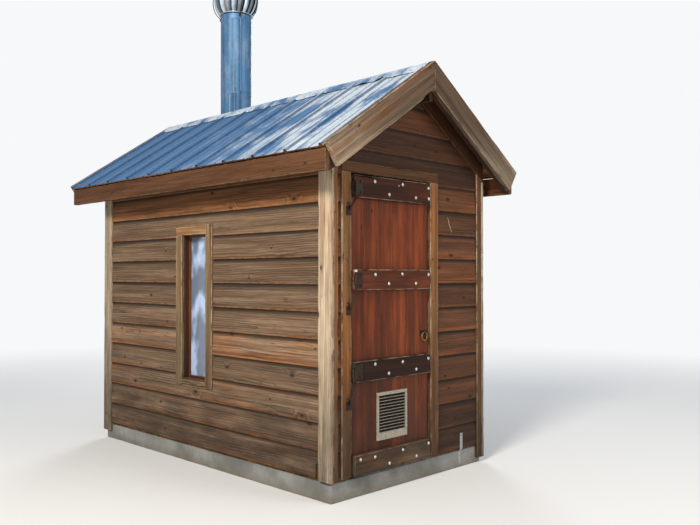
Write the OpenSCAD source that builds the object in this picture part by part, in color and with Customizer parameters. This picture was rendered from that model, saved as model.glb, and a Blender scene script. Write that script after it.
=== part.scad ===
// Wooden outhouse: a gabled, lap-sided privy on a concrete base.
// Millimetres, +Z up. The origin is the centre of the footprint at ground level.
// The door wall faces -Y and the wall with the window faces -X.

/* [Body] */
// Width of the door wall over the corner boards
body_w = 1710; // [1400:1:2300]
// Length of the window wall over the corner boards
body_l = 3050; // [2500:1:4000]
// Thickness of the framed and sheathed walls
wall_t = 100; // [80:1:130]
// Thickness of the trim boards
trim_t = 25; // [18:1:32]
// Height of the concrete base above the lowest ground
base_h = 132; // [80:1:250]

/* [Siding] */
// Height of the bottom edge of the lowest siding course
clad_z = 150; // [100:1:300]
// Height of siding course that shows
lap = 184; // [120:1:230]
// Thickness of a siding board at its lower edge
butt_t = 18; // [12:1:24]
// Depth of a siding board's face where the next course covers it
tip_t = 7; // [4:1:11]
// Width of the corner boards on the long walls
corner_side_w = 124; // [80:1:150]
// Width of the left corner board on the door wall
corner_left_w = 66; // [50:1:90]
// Width of the other corner boards on the gable walls
corner_face_w = 90; // [60:1:130]
// Length of the broken end of the lowest board on the window wall
broken_w = 35; // [0:1:120]
// Height of the broken end
broken_h = 98; // [20:1:160]
// Height of the lower ends of the corner boards: front left, front right, rear left, rear right
corner_feet = [140, 40, 73, 73]; // [20:1:160]

/* [Roof] */
// Height of the roof sheet at its eave edge
eave_z = 2308; // [2250:1:2900]
// Slope of the roof in degrees
pitch = 33.7; // [25:0.1:42]
// Reach of the roof sheet past the corner boards at the eaves
eave_over = 213; // [120:1:320]
// Reach of the roof sheet past the corner boards over the door
rake_front = 148; // [120:1:320]
// Reach of the roof sheet past the corner boards at the back
rake_rear = 238; // [120:1:360]
// Thickness of the roof boards
deck_t = 20; // [12:1:30]
// Height of the rafters
rafter_h = 140; // [90:1:190]
// Thickness of the rafters, ridge board and end blocks
rafter_t = 38; // [30:1:50]
// Largest distance between rafters
rafter_pitch = 610; // [400:1:700]
// Thickness of the roof sheet
sheet_t = 2; // [1:0.5:4]
// Distance between the ribs of the roof sheet
rib_pitch = 339; // [200:1:420]
// Height of the ribs
rib_h = 18; // [10:1:30]
// Reach of the ridge cap down each slope
cap_w = 112; // [90:1:220]
// Height of the fascia
fascia_h = 140; // [110:1:190]
// Reach of the roof sheet past the fascia
drip = 23; // [10:1:40]
// Depth of the barge boards below the flat face of the roof sheet
barge_depth = 162; // [120:1:200]
// Thickness of the fascia and the barge boards
edge_t = 38; // [20:1:45]

/* [Door] */
// Distance from the left corner to the clear doorway
door_side = 190; // [170:1:300]
// Width of the clear doorway
door_clear_w = 843; // [700:1:950]
// Height of the head of the clear doorway
door_head = 2192; // [1900:1:2200]
// Width of the casing boards beside the door
casing_w = 89; // [60:1:100]
// Height of the casing board over the door
head_casing_h = 72; // [60:1:110]
// Gap at the hinge edge of the door
hinge_gap = 16; // [10:1:20]
// Gap at the latch edge of the door
latch_gap = 14; // [11:1:24]
// Gap over the door
head_gap = 10; // [6:1:20]
// Depth of the door's planks behind the face of the casing
leaf_recess = 19; // [5:1:25]
// Thickness of the door's planks
leaf_t = 38; // [25:1:45]
// Width of the plank at the hinge edge
first_plank_w = 124; // [80:1:160]
// Width of the other planks
plank_w = 145.5; // [90:0.5:200]
// Height of the kick board and the lower battens
batten_h = 141; // [100:1:180]
// Height of the top batten
top_batten_h = 155; // [100:1:180]
// Thickness of the battens
batten_t = 38; // [20:1:50]
// Heights of the battens above the door's lower edge
batten_up = [629, 1248, 1875]; // [300:1:1890]
// Gap between the battens' ends and the latch edge
batten_inset = 12; // [0:1:40]

/* [Door vent] */
// Distance from the hinge edge of the door to the vent
vent_side = 243; // [150:1:350]
// Height of the vent above the door's lower edge
vent_up = 202; // [160:1:300]
// Width of the vent's frame
vent_w = 318; // [200:1:380]
// Height of the vent's frame
vent_h = 332; // [200:1:400]
// Width of the frame's sides and top
vent_rail = 20; // [16:1:45]
// Height of the frame's bottom rail
vent_foot = 50; // [25:1:70]
// Number of louvre slats
slats = 12; // [6:1:16]

/* [Door fittings] */
// Radius of the hinge eyes
eye_r = 12; // [10:0.5:16]
// Radius of the hinge pins
pin_r = 6; // [4:0.5:8]
// Height of the hinge eyes
eye_h = 60; // [40:1:90]
// Distances from the bottoms of the battens down to the feet of their hinges
pintle_drop = [149, 133, 93]; // [80:1:200]
// Distance from the latch edge of the door to the middle of the ring
ring_side = 59; // [53:1:313]
// Height of the ring's hanger above the door's lower edge
ring_up = 930; // [800:1:1100]
// Radius of the ring to the middle of its bar
ring_r = 30; // [25:0.5:45]
// Thickness of the ring's bar
ring_bar = 8; // [6:0.5:11]

/* [Window] */
// Distance from the front corner to the clear window
win_side = 1421; // [500:1:1500]
// Width of the clear window
win_w = 336; // [250:1:600]
// Height of the clear window's lower edge
win_z = 670; // [500:1:900]
// Height of the clear window
win_h = 1154; // [600:1:1200]
// Width of the casing boards beside the window
win_casing_w = 82; // [50:1:100]
// Reach of the side casings below the clear window
win_casing_drop = 56; // [45:1:90]
// Height of the casing board over the window
win_head_h = 66; // [40:1:90]
// Reach of the front casing above that board
win_horn = 10; // [0:1:30]
// Height of the board under the window
win_sill_h = 30; // [20:1:32]
// Depth of the sash behind the face of the casing
sash_recess = 72; // [40:1:80]

/* [Vent stack] */
// Outer diameter of the stack
stack_d = 305; // [200:1:360]
// Distance from the stack's middle to the right-hand corner boards
stack_side = 471; // [350:1:500]
// Distance from the stack's middle to the rear corner boards
stack_back = 360; // [350:1:500]
// Height of the stack's top
stack_top = 4075; // [3600:1:4600]
// Thickness of the stack's wall
stack_t = 3; // [1:0.5:5]
// Height of the stack's upper joint
stack_seam_z = 3343; // [3150:1:3900]
// Largest radius of the turbine head
turbine_r = 228; // [200:1:280]
// Number of vanes
vanes = 20; // [12:1:28]

/* [Hidden] */

// Fits shared by all pieces
joint = 0.6;
seam = 2;
rest = 0.05;
past = 10;
run_gap = 0.3;
pin_fit = 0.08;
stop_gap = 5;
$fn = 96;

// Walls
hw = body_w / 2;
hl = body_l / 2;
wall_x = hw - trim_t;
wall_y = hl - trim_t;
in_x = wall_x - wall_t;
in_y = wall_y - wall_t;

// Roof planes, by their depth below the flat face of the sheet
roof_x = hw + eave_over;
ridge_z = eave_z + roof_x * tan(pitch);
rafter_d = sheet_t + deck_t;
under_d = rafter_d + rafter_h;
sheet_y0 = -hl - rake_front;
sheet_y1 = hl + rake_rear;
fascia_x = roof_x - drip;
tail_x = fascia_x - edge_t;
fascia_top = slope_z(fascia_x, rafter_d);
fascia_low = fascia_top - fascia_h;
barge_x = roof_x - 4;
rib_edge = 22;
seat = 23;
plate_z = slope_z(wall_x, under_d) + seat;
corner_z = slope_z(hw, under_d) - joint;
ridge_half = rafter_t / 2;
ridge_depth = 60;

// Doorway
door_x0 = -hw + door_side;
door_x1 = door_x0 + door_clear_w;
jamb_t = 25;
stop_t = 32;
stop_w = 40;
leaf_x0 = door_x0 + hinge_gap;
leaf_w = door_clear_w - hinge_gap - latch_gap;
leaf_y0 = -hl + leaf_recess;
leaf_y1 = leaf_y0 + leaf_t;
leaf_z0 = clad_z;
leaf_z1 = door_head - head_gap;
batten_y = leaf_y0 - batten_t;
groove = 5;
vent_x0 = leaf_x0 + vent_side;
vent_z0 = leaf_z0 + vent_up;
vent_proud = 15;
vent_lip = 12;
slat_t = 3;

// Door fittings
hinge_x = door_x0 + hinge_gap * 0.6;
hinge_y = batten_y - eye_r;
strap_t = 5;
strap_w = 67;
strap_h = 105;
foot_w = 50;
foot_h = 60;
arm_r = 9;
pull_t = 4;
staple_r = 10;
staple_bar = 7;
ring_x = leaf_x0 + leaf_w - ring_side;
ring_y = leaf_y0 - pull_t - staple_r - 2;
ring_z = leaf_z0 + ring_up;
pivot_z = ring_z - staple_r + (staple_bar + ring_bar) / 2 + run_gap;

// Window
win_y0 = -hl + win_side;
win_y1 = win_y0 + win_w;
win_z1 = win_z + win_h;
liner_t = 20;
sash_x = -hw + sash_recess;
sash_t = 32;
sash_w = 16;
glass_t = 4;
glass_in = 8;
sill_step = 12;

// Stack and turbine
stack_r = stack_d / 2;
stack_x = hw - stack_side;
stack_y = hl - stack_back;
roof_hole = stack_r + 5;
ring_z0 = stack_top + 60;
head_h = 300;
head_mid = ring_z0 + head_h / 2;
foot_r = stack_r + 14.5;
arc_c = (turbine_r ^ 2 - foot_r ^ 2 - (head_h / 2) ^ 2) / (2 * (turbine_r - foot_r));
arc_r = turbine_r - arc_c;
post_r = 6;
vane_t = 1.5;
vane_span = 24;
vane_shift = 62;
vane_tuck = 22;
collar_t = 3;
brace_r = 4;
brace_gap = 17;
brace_foot = 20;
brace_in = 58.5;
brace_arc = 220.6;
hub_z = head_mid + brace_arc - 6;
hub_h = 12;

function slope_z(x, d) = ridge_z - abs(x) * tan(pitch) - d / cos(pitch);
function globe_r(z) = arc_c + sqrt(arc_r ^ 2 - (z - head_mid) ^ 2);

module block(x0, x1, y0, y1, z0, z1)
    translate([x0, y0, z0]) cube([x1 - x0, y1 - y0, z1 - z0]);

// A flat shape in X and Z, drawn out along Y
module lay_y(y0, y1)
    translate([0, y1, 0]) rotate([90, 0, 0]) linear_extrude(y1 - y0) children();

// A flat shape in Y and Z, drawn out along X
module lay_x(x0, x1)
    translate([x0, 0, 0]) rotate([90, 0, 90]) linear_extrude(x1 - x0) children();

// A round bar between two points
module bar(p, q, r) {
    d = q - p;
    translate(p) rotate([0, acos(d.z / norm(d)), atan2(d.y, d.x)]) cylinder(h = norm(d), r = r);
}

// A board or panel that lies in the right-hand roof slope, between two depths
module slope_piece(x0, x1, d0, d1, y0, y1)
    lay_y(y0, y1) polygon([
        [x0, slope_z(x0, d0)], [x1, slope_z(x1, d0)],
        [x1, slope_z(x1, d1)], [x0, slope_z(x0, d1)]
    ]);

module both_slopes() {
    children();
    mirror([1, 0, 0]) children();
}

module stack_hole()
    translate([stack_x, stack_y, base_h]) cylinder(h = stack_top, r = roof_hole);

// Concrete base
module foundation_slab() color("lightgray")
    block(-wall_x, wall_x, -wall_y, wall_y, 0, base_h);

// Framed walls
module front_wall_left() color("peru")
    block(-wall_x, door_x0 - jamb_t, -wall_y, -in_y, base_h, door_head + jamb_t);

module front_wall_right() color("peru")
    block(door_x1 + jamb_t, wall_x, -wall_y, -in_y, base_h, door_head + jamb_t);

module gable_shape(z0)
    polygon([
        [-wall_x, z0], [wall_x, z0], [wall_x, slope_z(wall_x, rafter_d)],
        [0, slope_z(0, rafter_d)], [-wall_x, slope_z(wall_x, rafter_d)]
    ]);

module gable_wall(y0, y1, z0)
    difference() {
        lay_y(y0, y1) gable_shape(z0);
        ridge_blank(joint / 2, ridge_z);
    }

module front_gable_wall() color("peru") gable_wall(-wall_y, -in_y, door_head + jamb_t);

module rear_wall() color("peru") gable_wall(in_y, wall_y, base_h);

module left_wall_front() color("peru")
    block(-wall_x, -in_x, -in_y, win_y0 - liner_t, base_h, plate_z);

module left_wall_rear() color("peru")
    block(-wall_x, -in_x, win_y1 + liner_t, in_y, base_h, plate_z);

module left_wall_over_window() color("peru")
    block(-wall_x, -in_x, win_y0 - liner_t, win_y1 + liner_t, win_z1 + liner_t, plate_z);

module left_wall_under_window() color("peru")
    block(-wall_x, -in_x, win_y0 - liner_t, win_y1 + liner_t, base_h, win_z - liner_t);

module right_wall() color("peru")
    block(in_x, wall_x, -in_y, in_y, base_h, plate_z);

// Lap siding: depth from the wall along X, height along Y
module lap_courses(z_top) {
    n = ceil((z_top - clad_z) / lap);
    polygon(concat(
        [[0, clad_z]],
        [for (i = [0:n - 1]) each [[butt_t, clad_z + i * lap], [tip_t, clad_z + (i + 1) * lap]]],
        [[0, clad_z + n * lap]]
    ));
}

module gable_field(left_w, right_w) {
    x0 = -hw + left_w + seam;
    x1 = hw - right_w - seam;
    difference() {
        polygon([
            [x0, clad_z - past], [x1, clad_z - past], [x1, slope_z(x1, under_d) - seam],
            [0, slope_z(0, under_d) - seam], [x0, slope_z(x0, under_d) - seam]
        ]);
        translate([-ridge_half - seam, slope_z(ridge_half, under_d) - ridge_depth - seam])
            square([2 * (ridge_half + seam), ridge_z]);
    }
}

module front_siding() color("sienna")
    intersection() {
        translate([0, -wall_y, 0]) mirror([0, 1, 0]) lay_x(-hw, hw) lap_courses(ridge_z);
        lay_y(-hl, -wall_y) difference() {
            gable_field(corner_left_w, corner_face_w);
            translate([door_x0 - casing_w - seam, 0])
                square([door_clear_w + 2 * (casing_w + seam), door_head + head_casing_h + seam]);
        }
    }

module rear_siding() color("sienna")
    intersection() {
        translate([0, wall_y, 0]) lay_x(-hw, hw) lap_courses(ridge_z);
        lay_y(wall_y, hl) gable_field(corner_face_w, corner_face_w);
    }

module side_courses(y0, y1) {
    z_top = slope_z(hw, under_d) - joint;
    intersection() {
        lay_y(y0, y1) lap_courses(z_top);
        block(0, trim_t, y0, y1, clad_z, z_top);
    }
}

module left_siding() color("tan")
    difference() {
        translate([-wall_x, 0, 0]) mirror([1, 0, 0])
            side_courses(-hl + corner_side_w + seam, hl - corner_side_w - seam);
        // The front end of the lowest board has broken off
        block(
            -hw - past, -wall_x + past, -hl, -hl + corner_side_w + broken_w, clad_z - past,
            clad_z + broken_h
        );
        for (b = window_boards())
            block(-hw - past, -wall_x + past, b[0] - seam, b[1] + seam, b[2] - seam, b[3] + seam);
        block(-hw - past, -wall_x + past, win_y0, win_y1, win_z - sill_step, win_z1);
    }

module right_siding() color("tan")
    translate([wall_x, 0, 0]) side_courses(-hl + corner_side_w + seam, hl - corner_side_w - seam);

// Corner boards: a wide board on the long wall and a board that meets it on the gable wall
module corner_pair(face_w, foot) {
    x0 = -wall_x + joint;
    x1 = -hw + face_w;
    block(-hw, -wall_x, -hl, -hl + corner_side_w, foot, corner_z);
    lay_y(-hl, -wall_y) polygon([
        [x0, foot], [x1, foot], [x1, slope_z(x1, under_d) - joint], [x0, slope_z(x0, under_d) - joint]
    ]);
}

module corner_boards_front() color("burlywood") {
    corner_pair(corner_left_w, corner_feet[0]);
    mirror([1, 0, 0]) corner_pair(corner_face_w, corner_feet[1]);
}

module corner_boards_rear() color("burlywood")
    mirror([0, 1, 0]) {
        corner_pair(corner_face_w, corner_feet[2]);
        mirror([1, 0, 0]) corner_pair(corner_face_w, corner_feet[3]);
    }

// Door trim
module door_casings() color("burlywood") {
    block(door_x0 - casing_w, door_x0, -hl, -wall_y, clad_z, door_head - joint);
    block(door_x1, door_x1 + casing_w, -hl, -wall_y, clad_z, door_head - joint);
    block(
        door_x0 - casing_w, door_x1 + casing_w, -hl, -wall_y, door_head, door_head + head_casing_h
    );
}

module door_jambs() color("burlywood") {
    stop_y = leaf_y1 + stop_gap;
    z_top = door_head - joint;
    block(door_x0 - jamb_t, door_x0, -wall_y, -in_y, base_h, z_top);
    block(door_x0 + joint, door_x0 + stop_t, stop_y, stop_y + stop_w, base_h, z_top - stop_t);
    block(door_x1, door_x1 + jamb_t, -wall_y, -in_y, base_h, z_top);
    block(door_x1 - stop_t, door_x1 - joint, stop_y, stop_y + stop_w, base_h, z_top - stop_t);
    block(door_x0 - jamb_t, door_x1 + jamb_t, -wall_y, -in_y, door_head, door_head + jamb_t);
    block(
        door_x0 + joint, door_x1 - joint, stop_y, stop_y + stop_w, door_head - stop_t,
        door_head - joint
    );
}

// Door
module plank_grooves()
    for (i = [0:floor((leaf_w - first_plank_w) / plank_w)])
        for (y = [leaf_y0, leaf_y1])
            translate([leaf_x0 + first_plank_w + i * plank_w, y, leaf_z0 - past])
                rotate([0, 0, 45])
                    translate([-groove / 2, -groove / 2, 0])
                        cube([groove, groove, leaf_z1 - leaf_z0 + 2 * past]);

module door_planks() color("sienna")
    difference() {
        block(leaf_x0, leaf_x0 + leaf_w, leaf_y0, leaf_y1, leaf_z0, leaf_z1);
        plank_grooves();
        block(
            vent_x0 + vent_lip, vent_x0 + vent_w - vent_lip, leaf_y0 - past, leaf_y1 + past,
            vent_z0 + vent_lip, vent_z0 + vent_h - vent_lip
        );
    }

module batten(up, h)
    block(
        leaf_x0, leaf_x0 + leaf_w - batten_inset, batten_y, leaf_y0, leaf_z0 + up,
        leaf_z0 + up + h
    );

module door_battens() color("saddlebrown") {
    batten(batten_up[0], batten_h);
    batten(batten_up[1], batten_h);
    batten(batten_up[2], top_batten_h);
}

module door_kick_board() color("tan") batten(0, batten_h);

// Louvre vent: a flanged frame with a lining, and slats that slope down to the outside
module door_vent_frame() color("gainsboro")
    difference() {
        union() {
            block(vent_x0, vent_x0 + vent_w, leaf_y0 - vent_proud, leaf_y0, vent_z0, vent_z0 + vent_h);
            block(
                vent_x0 + vent_lip + joint, vent_x0 + vent_w - vent_lip - joint, leaf_y0 - joint,
                leaf_y1, vent_z0 + vent_lip + joint, vent_z0 + vent_h - vent_lip - joint
            );
        }
        block(
            vent_x0 + vent_rail, vent_x0 + vent_w - vent_rail, leaf_y0 - vent_proud - past,
            leaf_y1 + past, vent_z0 + vent_foot, vent_z0 + vent_h - vent_rail
        );
    }

module door_vent_louvres() color("silver") {
    z0 = vent_z0 + vent_foot;
    step = (vent_h - vent_foot - vent_rail) / slats;
    y0 = leaf_y0 - vent_proud / 2;
    y1 = leaf_y1 - vent_lip / 2;
    for (i = [0:slats - 1])
        lay_x(vent_x0 + vent_rail, vent_x0 + vent_w - vent_rail)
            polygon([
                [y0, z0 + i * step], [y1, z0 + (i + 1) * step - 2 * slat_t],
                [y1, z0 + (i + 1) * step - slat_t], [y0, z0 + i * step + slat_t]
            ]);
}

// Ring pull: the plate carries a staple in which the ring hangs, and a strap staple stands beside it
module door_pull_plate() color("darkgoldenrod") {
    block(ring_x - 30, ring_x + 55, leaf_y0 - pull_t, leaf_y0, ring_z - 27, ring_z + 10);
    lay_x(ring_x + 40, ring_x + 51) difference() {
        translate([leaf_y0 - 13, ring_z - 61]) square([13, 30]);
        translate([leaf_y0 - 9, ring_z - 56]) square([9 + past, 20]);
    }
    translate([ring_x, ring_y, ring_z]) rotate([0, 90, 0])
        rotate_extrude() translate([staple_r, 0]) circle(d = staple_bar, $fn = 32);
}

module door_pull_ring() color("darkgoldenrod")
    translate([ring_x, ring_y, pivot_z - ring_r]) rotate([90, 0, 0])
        rotate_extrude() translate([ring_r, 0]) circle(d = ring_bar, $fn = 32);

// Hinges: each pintle stands on an arm from the casing, and each strap's eye turns on it
module pintle(up, drop) {
    z_batten = leaf_z0 + up;
    z_eye = z_batten + (batten_h - eye_h) / 2;
    z_foot = z_batten - drop;
    knee = [hinge_x, hinge_y, z_batten - 15];
    foot = [door_x0 - foot_w / 2, -hl - strap_t - 10, z_foot + foot_h / 4];
    block(
        door_x0 - foot_w, door_x0 - 5, -hl - strap_t, -hl, z_foot - foot_h / 2,
        z_foot + foot_h / 2
    );
    translate([foot.x, -hl - strap_t - 20, foot.z]) rotate([-90, 0, 0]) cylinder(h = 21, r = 11);
    bar(foot, knee, arm_r);
    translate(knee) sphere(r = arm_r + 1.5);
    bar(knee, [hinge_x, hinge_y, z_eye + eye_h + 6], pin_r);
    translate([hinge_x, hinge_y, z_eye - run_gap - 6]) cylinder(h = 6, r = eye_r);
}

module hinge_pintles() color("dimgray")
    for (i = [0:2]) pintle(batten_up[i], pintle_drop[i]);

module hinge_strap(up) {
    z_mid = leaf_z0 + up + batten_h / 2;
    difference() {
        union() {
            block(
                hinge_x, leaf_x0 + strap_w, batten_y - strap_t, batten_y, z_mid - eye_h / 2,
                z_mid + eye_h / 2
            );
            block(
                leaf_x0 + 4, leaf_x0 + strap_w, batten_y - strap_t, batten_y, z_mid - strap_h / 2,
                z_mid + strap_h / 2
            );
            translate([hinge_x, hinge_y, z_mid - eye_h / 2]) cylinder(h = eye_h, r = eye_r);
        }
        translate([hinge_x, hinge_y, z_mid - eye_h]) cylinder(h = 2 * eye_h, r = pin_r + pin_fit);
    }
}

module hinge_straps() color("dimgray")
    for (up = batten_up) hinge_strap(up);

// Window: each casing board as its ends along Y and then along Z
function window_boards() =
    let (
        y0 = win_y0 - win_casing_w, y1 = win_y1 + win_casing_w, z0 = win_z - win_casing_drop,
        z_head = win_z1 + win_head_h, z_sill = win_z - sill_step
    ) [
        [y0, win_y0, z0, z_head + win_horn],
        [win_y1, y1, z0, win_z1 - joint],
        [win_y0 + joint, y1, win_z1, z_head],
        [win_y0 + joint, win_y1 - joint, z_sill - win_sill_h, z_sill]
    ];

module window_casing() color("khaki")
    for (b = window_boards()) block(-hw, -wall_x, b[0], b[1], b[2], b[3]);

module window_frame() color("khaki")
    difference() {
        block(-wall_x, -in_x, win_y0 - liner_t, win_y1 + liner_t, win_z - liner_t, win_z1 + liner_t);
        block(-wall_x - past, -in_x + past, win_y0, win_y1, win_z, win_z1);
    }

module window_sash() color("khaki")
    difference() {
        block(sash_x, sash_x + sash_t, win_y0, win_y1, win_z, win_z1);
        block(
            sash_x - past, sash_x + sash_t + past, win_y0 + sash_w, win_y1 - sash_w,
            win_z + sash_w, win_z1 - sash_w
        );
        window_pane(joint / 2);
    }

module window_pane(fit) {
    x = sash_x + sash_t / 2;
    edge = sash_w - glass_in - fit;
    block(
        x - glass_t / 2 - fit, x + glass_t / 2 + fit, win_y0 + edge, win_y1 - edge,
        win_z + edge, win_z1 - edge
    );
}

module window_glass() color("lightblue") window_pane(0);

// Roof frame
module ridge_blank(fit, top)
    block(
        -ridge_half - fit, ridge_half + fit, sheet_y0 - fit, sheet_y1 + fit,
        slope_z(ridge_half, under_d) - ridge_depth - fit, top
    );

module ridge_board() color("peru") ridge_blank(0, slope_z(ridge_half, rafter_d));

module rafter_set(x0) {
    bays = ceil((2 * in_y - rafter_t) / rafter_pitch);
    step = (2 * in_y - rafter_t) / bays;
    inner = [for (i = [0:bays]) -in_y + i * step];
    for (y = concat([sheet_y0], inner, [sheet_y1 - rafter_t]))
        difference() {
            slope_piece(x0, tail_x - joint, rafter_d, under_d, y, y + rafter_t);
            block(in_x - past, wall_x, -wall_y, wall_y, base_h, plate_z);
            block(hw, roof_x, y - past, y + rafter_t + past, base_h, fascia_low + joint);
            stack_hole();
        }
}

module rafters() color("peru") both_slopes() rafter_set(ridge_half);

module deck_piece()
    slope_piece(joint / 2, fascia_x, sheet_t + rest, rafter_d, sheet_y0, sheet_y1);

module roof_deck_left() color("burlywood") mirror([1, 0, 0]) deck_piece();

module roof_deck_right() color("burlywood")
    difference() {
        deck_piece();
        stack_hole();
    }

// Ribbed roof sheet: its section runs along Y and is drawn out down the slope
function rib_at(i) = sheet_y0 + rib_edge + i * rib_pitch;

function rib_outline(y, drop, dir) = [
    [y - dir * 20, -drop], [y - dir * 8, rib_h - drop], [y + dir * 8, rib_h - drop],
    [y + dir * 20, -drop]
];

module sheet_section() {
    ribs = floor((sheet_y1 - sheet_y0 - rib_edge - 21) / rib_pitch);
    polygon(concat(
        [[sheet_y0, 0]],
        [for (i = [0:ribs]) each rib_outline(rib_at(i), 0, 1)],
        [[sheet_y1, 0], [sheet_y1, -sheet_t]],
        [for (i = [ribs:-1:0]) each rib_outline(rib_at(i), sheet_t, -1)],
        [[sheet_y0, -sheet_t]]
    ));
}

module roof_sheet()
    translate([0, 0, ridge_z]) rotate([0, pitch, 0])
        lay_x(6, roof_x / cos(pitch)) sheet_section();

module roof_sheet_left() color("lightsteelblue") mirror([1, 0, 0]) roof_sheet();

module roof_sheet_right() color("lightsteelblue")
    difference() {
        roof_sheet();
        stack_hole();
    }

function cap_edge(n) = [cap_w * cos(pitch) + n * sin(pitch), ridge_z - cap_w * sin(pitch) + n * cos(pitch)];

module ridge_cap() color("silver") {
    n0 = rib_h + rest;
    n1 = n0 + sheet_t;
    lay_y(sheet_y0, sheet_y1)
        polygon([
            [-cap_edge(n0).x, cap_edge(n0).y], [0, ridge_z + n0 / cos(pitch)], cap_edge(n0),
            cap_edge(n1), [0, ridge_z + n1 / cos(pitch)], [-cap_edge(n1).x, cap_edge(n1).y]
        ]);
}

// Boards at the roof's edges
module fascia_boards() color("sienna")
    both_slopes() block(tail_x, fascia_x, sheet_y0, sheet_y1, fascia_low, fascia_top);

// A barge board covers the ends of the ribs, and its foot is cut square across the board
module barge_pair(y0, y1) {
    w = rib_h + barge_depth;
    z_top = slope_z(barge_x, -rib_h);
    both_slopes() lay_y(y0, y1) polygon([
        [joint, slope_z(joint, -rib_h)], [barge_x, z_top],
        [barge_x - w * sin(pitch), z_top - w * cos(pitch)], [joint, slope_z(joint, barge_depth)]
    ]);
}

module barge_boards_front() color("sienna") barge_pair(sheet_y0 - joint / 2 - edge_t, sheet_y0 - joint / 2);

module barge_boards_rear() color("sienna") barge_pair(sheet_y1 + joint / 2, sheet_y1 + joint / 2 + edge_t);

module frieze_boards() color("saddlebrown")
    both_slopes() {
        slope_piece(ridge_half + joint, hw, rafter_d, under_d, -hl, -wall_y);
        slope_piece(ridge_half + joint, hw, rafter_d, under_d, wall_y, hl);
    }

// Vent stack with its flashing and storm collar
module vent_stack() color("gainsboro")
    translate([stack_x, stack_y, 0])
        difference() {
            union() {
                translate([0, 0, base_h]) cylinder(h = stack_top - base_h, r = stack_r);
                translate([0, 0, stack_seam_z]) cylinder(h = 8, r = stack_r + 2);
            }
            translate([0, 0, base_h - past])
                cylinder(h = stack_top - base_h + 2 * past, r = stack_r - stack_t);
        }

module stack_flashing() color("silver") {
    plate = 260;
    z_low = slope_z(stack_x + 210, -rib_h);
    difference() {
        union() {
            translate([0, 0, ridge_z]) rotate([0, pitch, 0])
                translate([stack_x / cos(pitch) - plate, stack_y - plate, rib_h])
                    cube([2 * plate, 2 * plate, sheet_t]);
            difference() {
                translate([stack_x, stack_y, z_low]) cylinder(h = 420, r1 = 230, r2 = stack_r + 4);
                translate([0, 0, ridge_z]) rotate([0, pitch, 0])
                    translate([0, stack_y - 2 * plate, rib_h - 1000 + sheet_t / 2])
                        cube([1500, 4 * plate, 1000]);
            }
        }
        translate([stack_x, stack_y, z_low - 400]) cylinder(h = 1200, r = stack_r + joint);
        translate([stack_x, stack_y, z_low - 0.01]) cylinder(h = 410, r1 = 227, r2 = stack_r + 1);
    }
    translate([stack_x, stack_y, z_low + 424]) rotate_extrude()
        polygon([
            [stack_r + joint, 0], [stack_r + 45, -22], [stack_r + 45, -20],
            [stack_r + joint + 2, 6], [stack_r + joint, 6]
        ]);
}

// Turbine: a fixed collar, spider and post, and the head that turns on the post
module turbine_collar() color("silver")
    translate([stack_x, stack_y, 0]) {
        difference() {
            translate([0, 0, stack_top - 8]) cylinder(h = 58, r = stack_r + collar_t);
            translate([0, 0, stack_top - 70]) cylinder(h = 130, r = stack_r + joint / 2);
        }
        for (a = [0, 90])
            rotate([0, 0, a])
                translate([-stack_r - 2, -8, stack_top + 5]) cube([2 * stack_r + 4, 16, 4]);
        translate([0, 0, stack_top + 5]) cylinder(h = hub_z - rest - stack_top - 5, r = post_r);
    }

// Three bent rods stand on the collar, pass outside the head and hold the hub on top of the post
module turbine_braces() color("dimgray")
    translate([stack_x, stack_y, 0]) {
        arc_x = turbine_r + brace_gap - brace_arc;
        low = asin((ring_z0 - brace_foot - head_mid) / brace_arc);
        for (a = [6.8, 126.8, 246.8])
            rotate([0, 0, a]) {
                translate([arc_x, 0, head_mid]) rotate([90, 0, 0]) rotate([0, 0, low])
                    rotate_extrude(angle = 90 - low)
                        translate([brace_arc, 0]) circle(r = brace_r, $fn = 32);
                translate([stack_r + collar_t + joint / 2, -8, ring_z0 - brace_foot - 24])
                    cube([turbine_r - brace_in - stack_r - collar_t, 16, 31]);
            }
        translate([0, 0, hub_z]) cylinder(h = hub_h, r = 34);
    }

// A vane is a strip of a barrel whose axis is moved sideways, so that one edge stands out
// and the other edge tucks in behind the next vane
module vane() {
    levels = 8;
    z0 = ring_z0 + 1;
    z1 = ring_z0 + head_h - 1;
    outer = [for (k = [0:levels]) let (z = z0 + (z1 - z0) * k / levels) [globe_r(z) - vane_tuck, z]];
    translate([0, -vane_shift, 0]) rotate([0, 0, -vane_span / 2])
        rotate_extrude(angle = vane_span)
            polygon(concat(outer, [for (k = [levels:-1:0]) [outer[k].x - vane_t, outer[k].y]]));
}

module turbine_head() color("silver")
    translate([stack_x, stack_y, 0]) {
        for (i = [0:vanes - 1]) rotate([0, 0, i * 360 / vanes]) vane();
        translate([0, 0, ring_z0 - 3]) difference() {
            cylinder(h = 5, r = foot_r + 4);
            translate([0, 0, -1]) cylinder(h = 7, r = foot_r - 34);
        }
        difference() {
            union() {
                translate([0, 0, ring_z0 + head_h - 2]) cylinder(h = 24, r1 = foot_r + 4, r2 = 40);
                translate([0, 0, ring_z0 + head_h - 20]) cylinder(h = 48, r = 16);
            }
            difference() {
                translate([0, 0, ring_z0 + head_h - 2.01]) cylinder(h = 22, r1 = foot_r + 1, r2 = 37);
                translate([0, 0, ring_z0 + head_h - 20]) cylinder(h = 48, r = 16);
            }
            translate([0, 0, ring_z0]) cylinder(h = head_h + 40, r = post_r + pin_fit);
        }
    }

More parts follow.
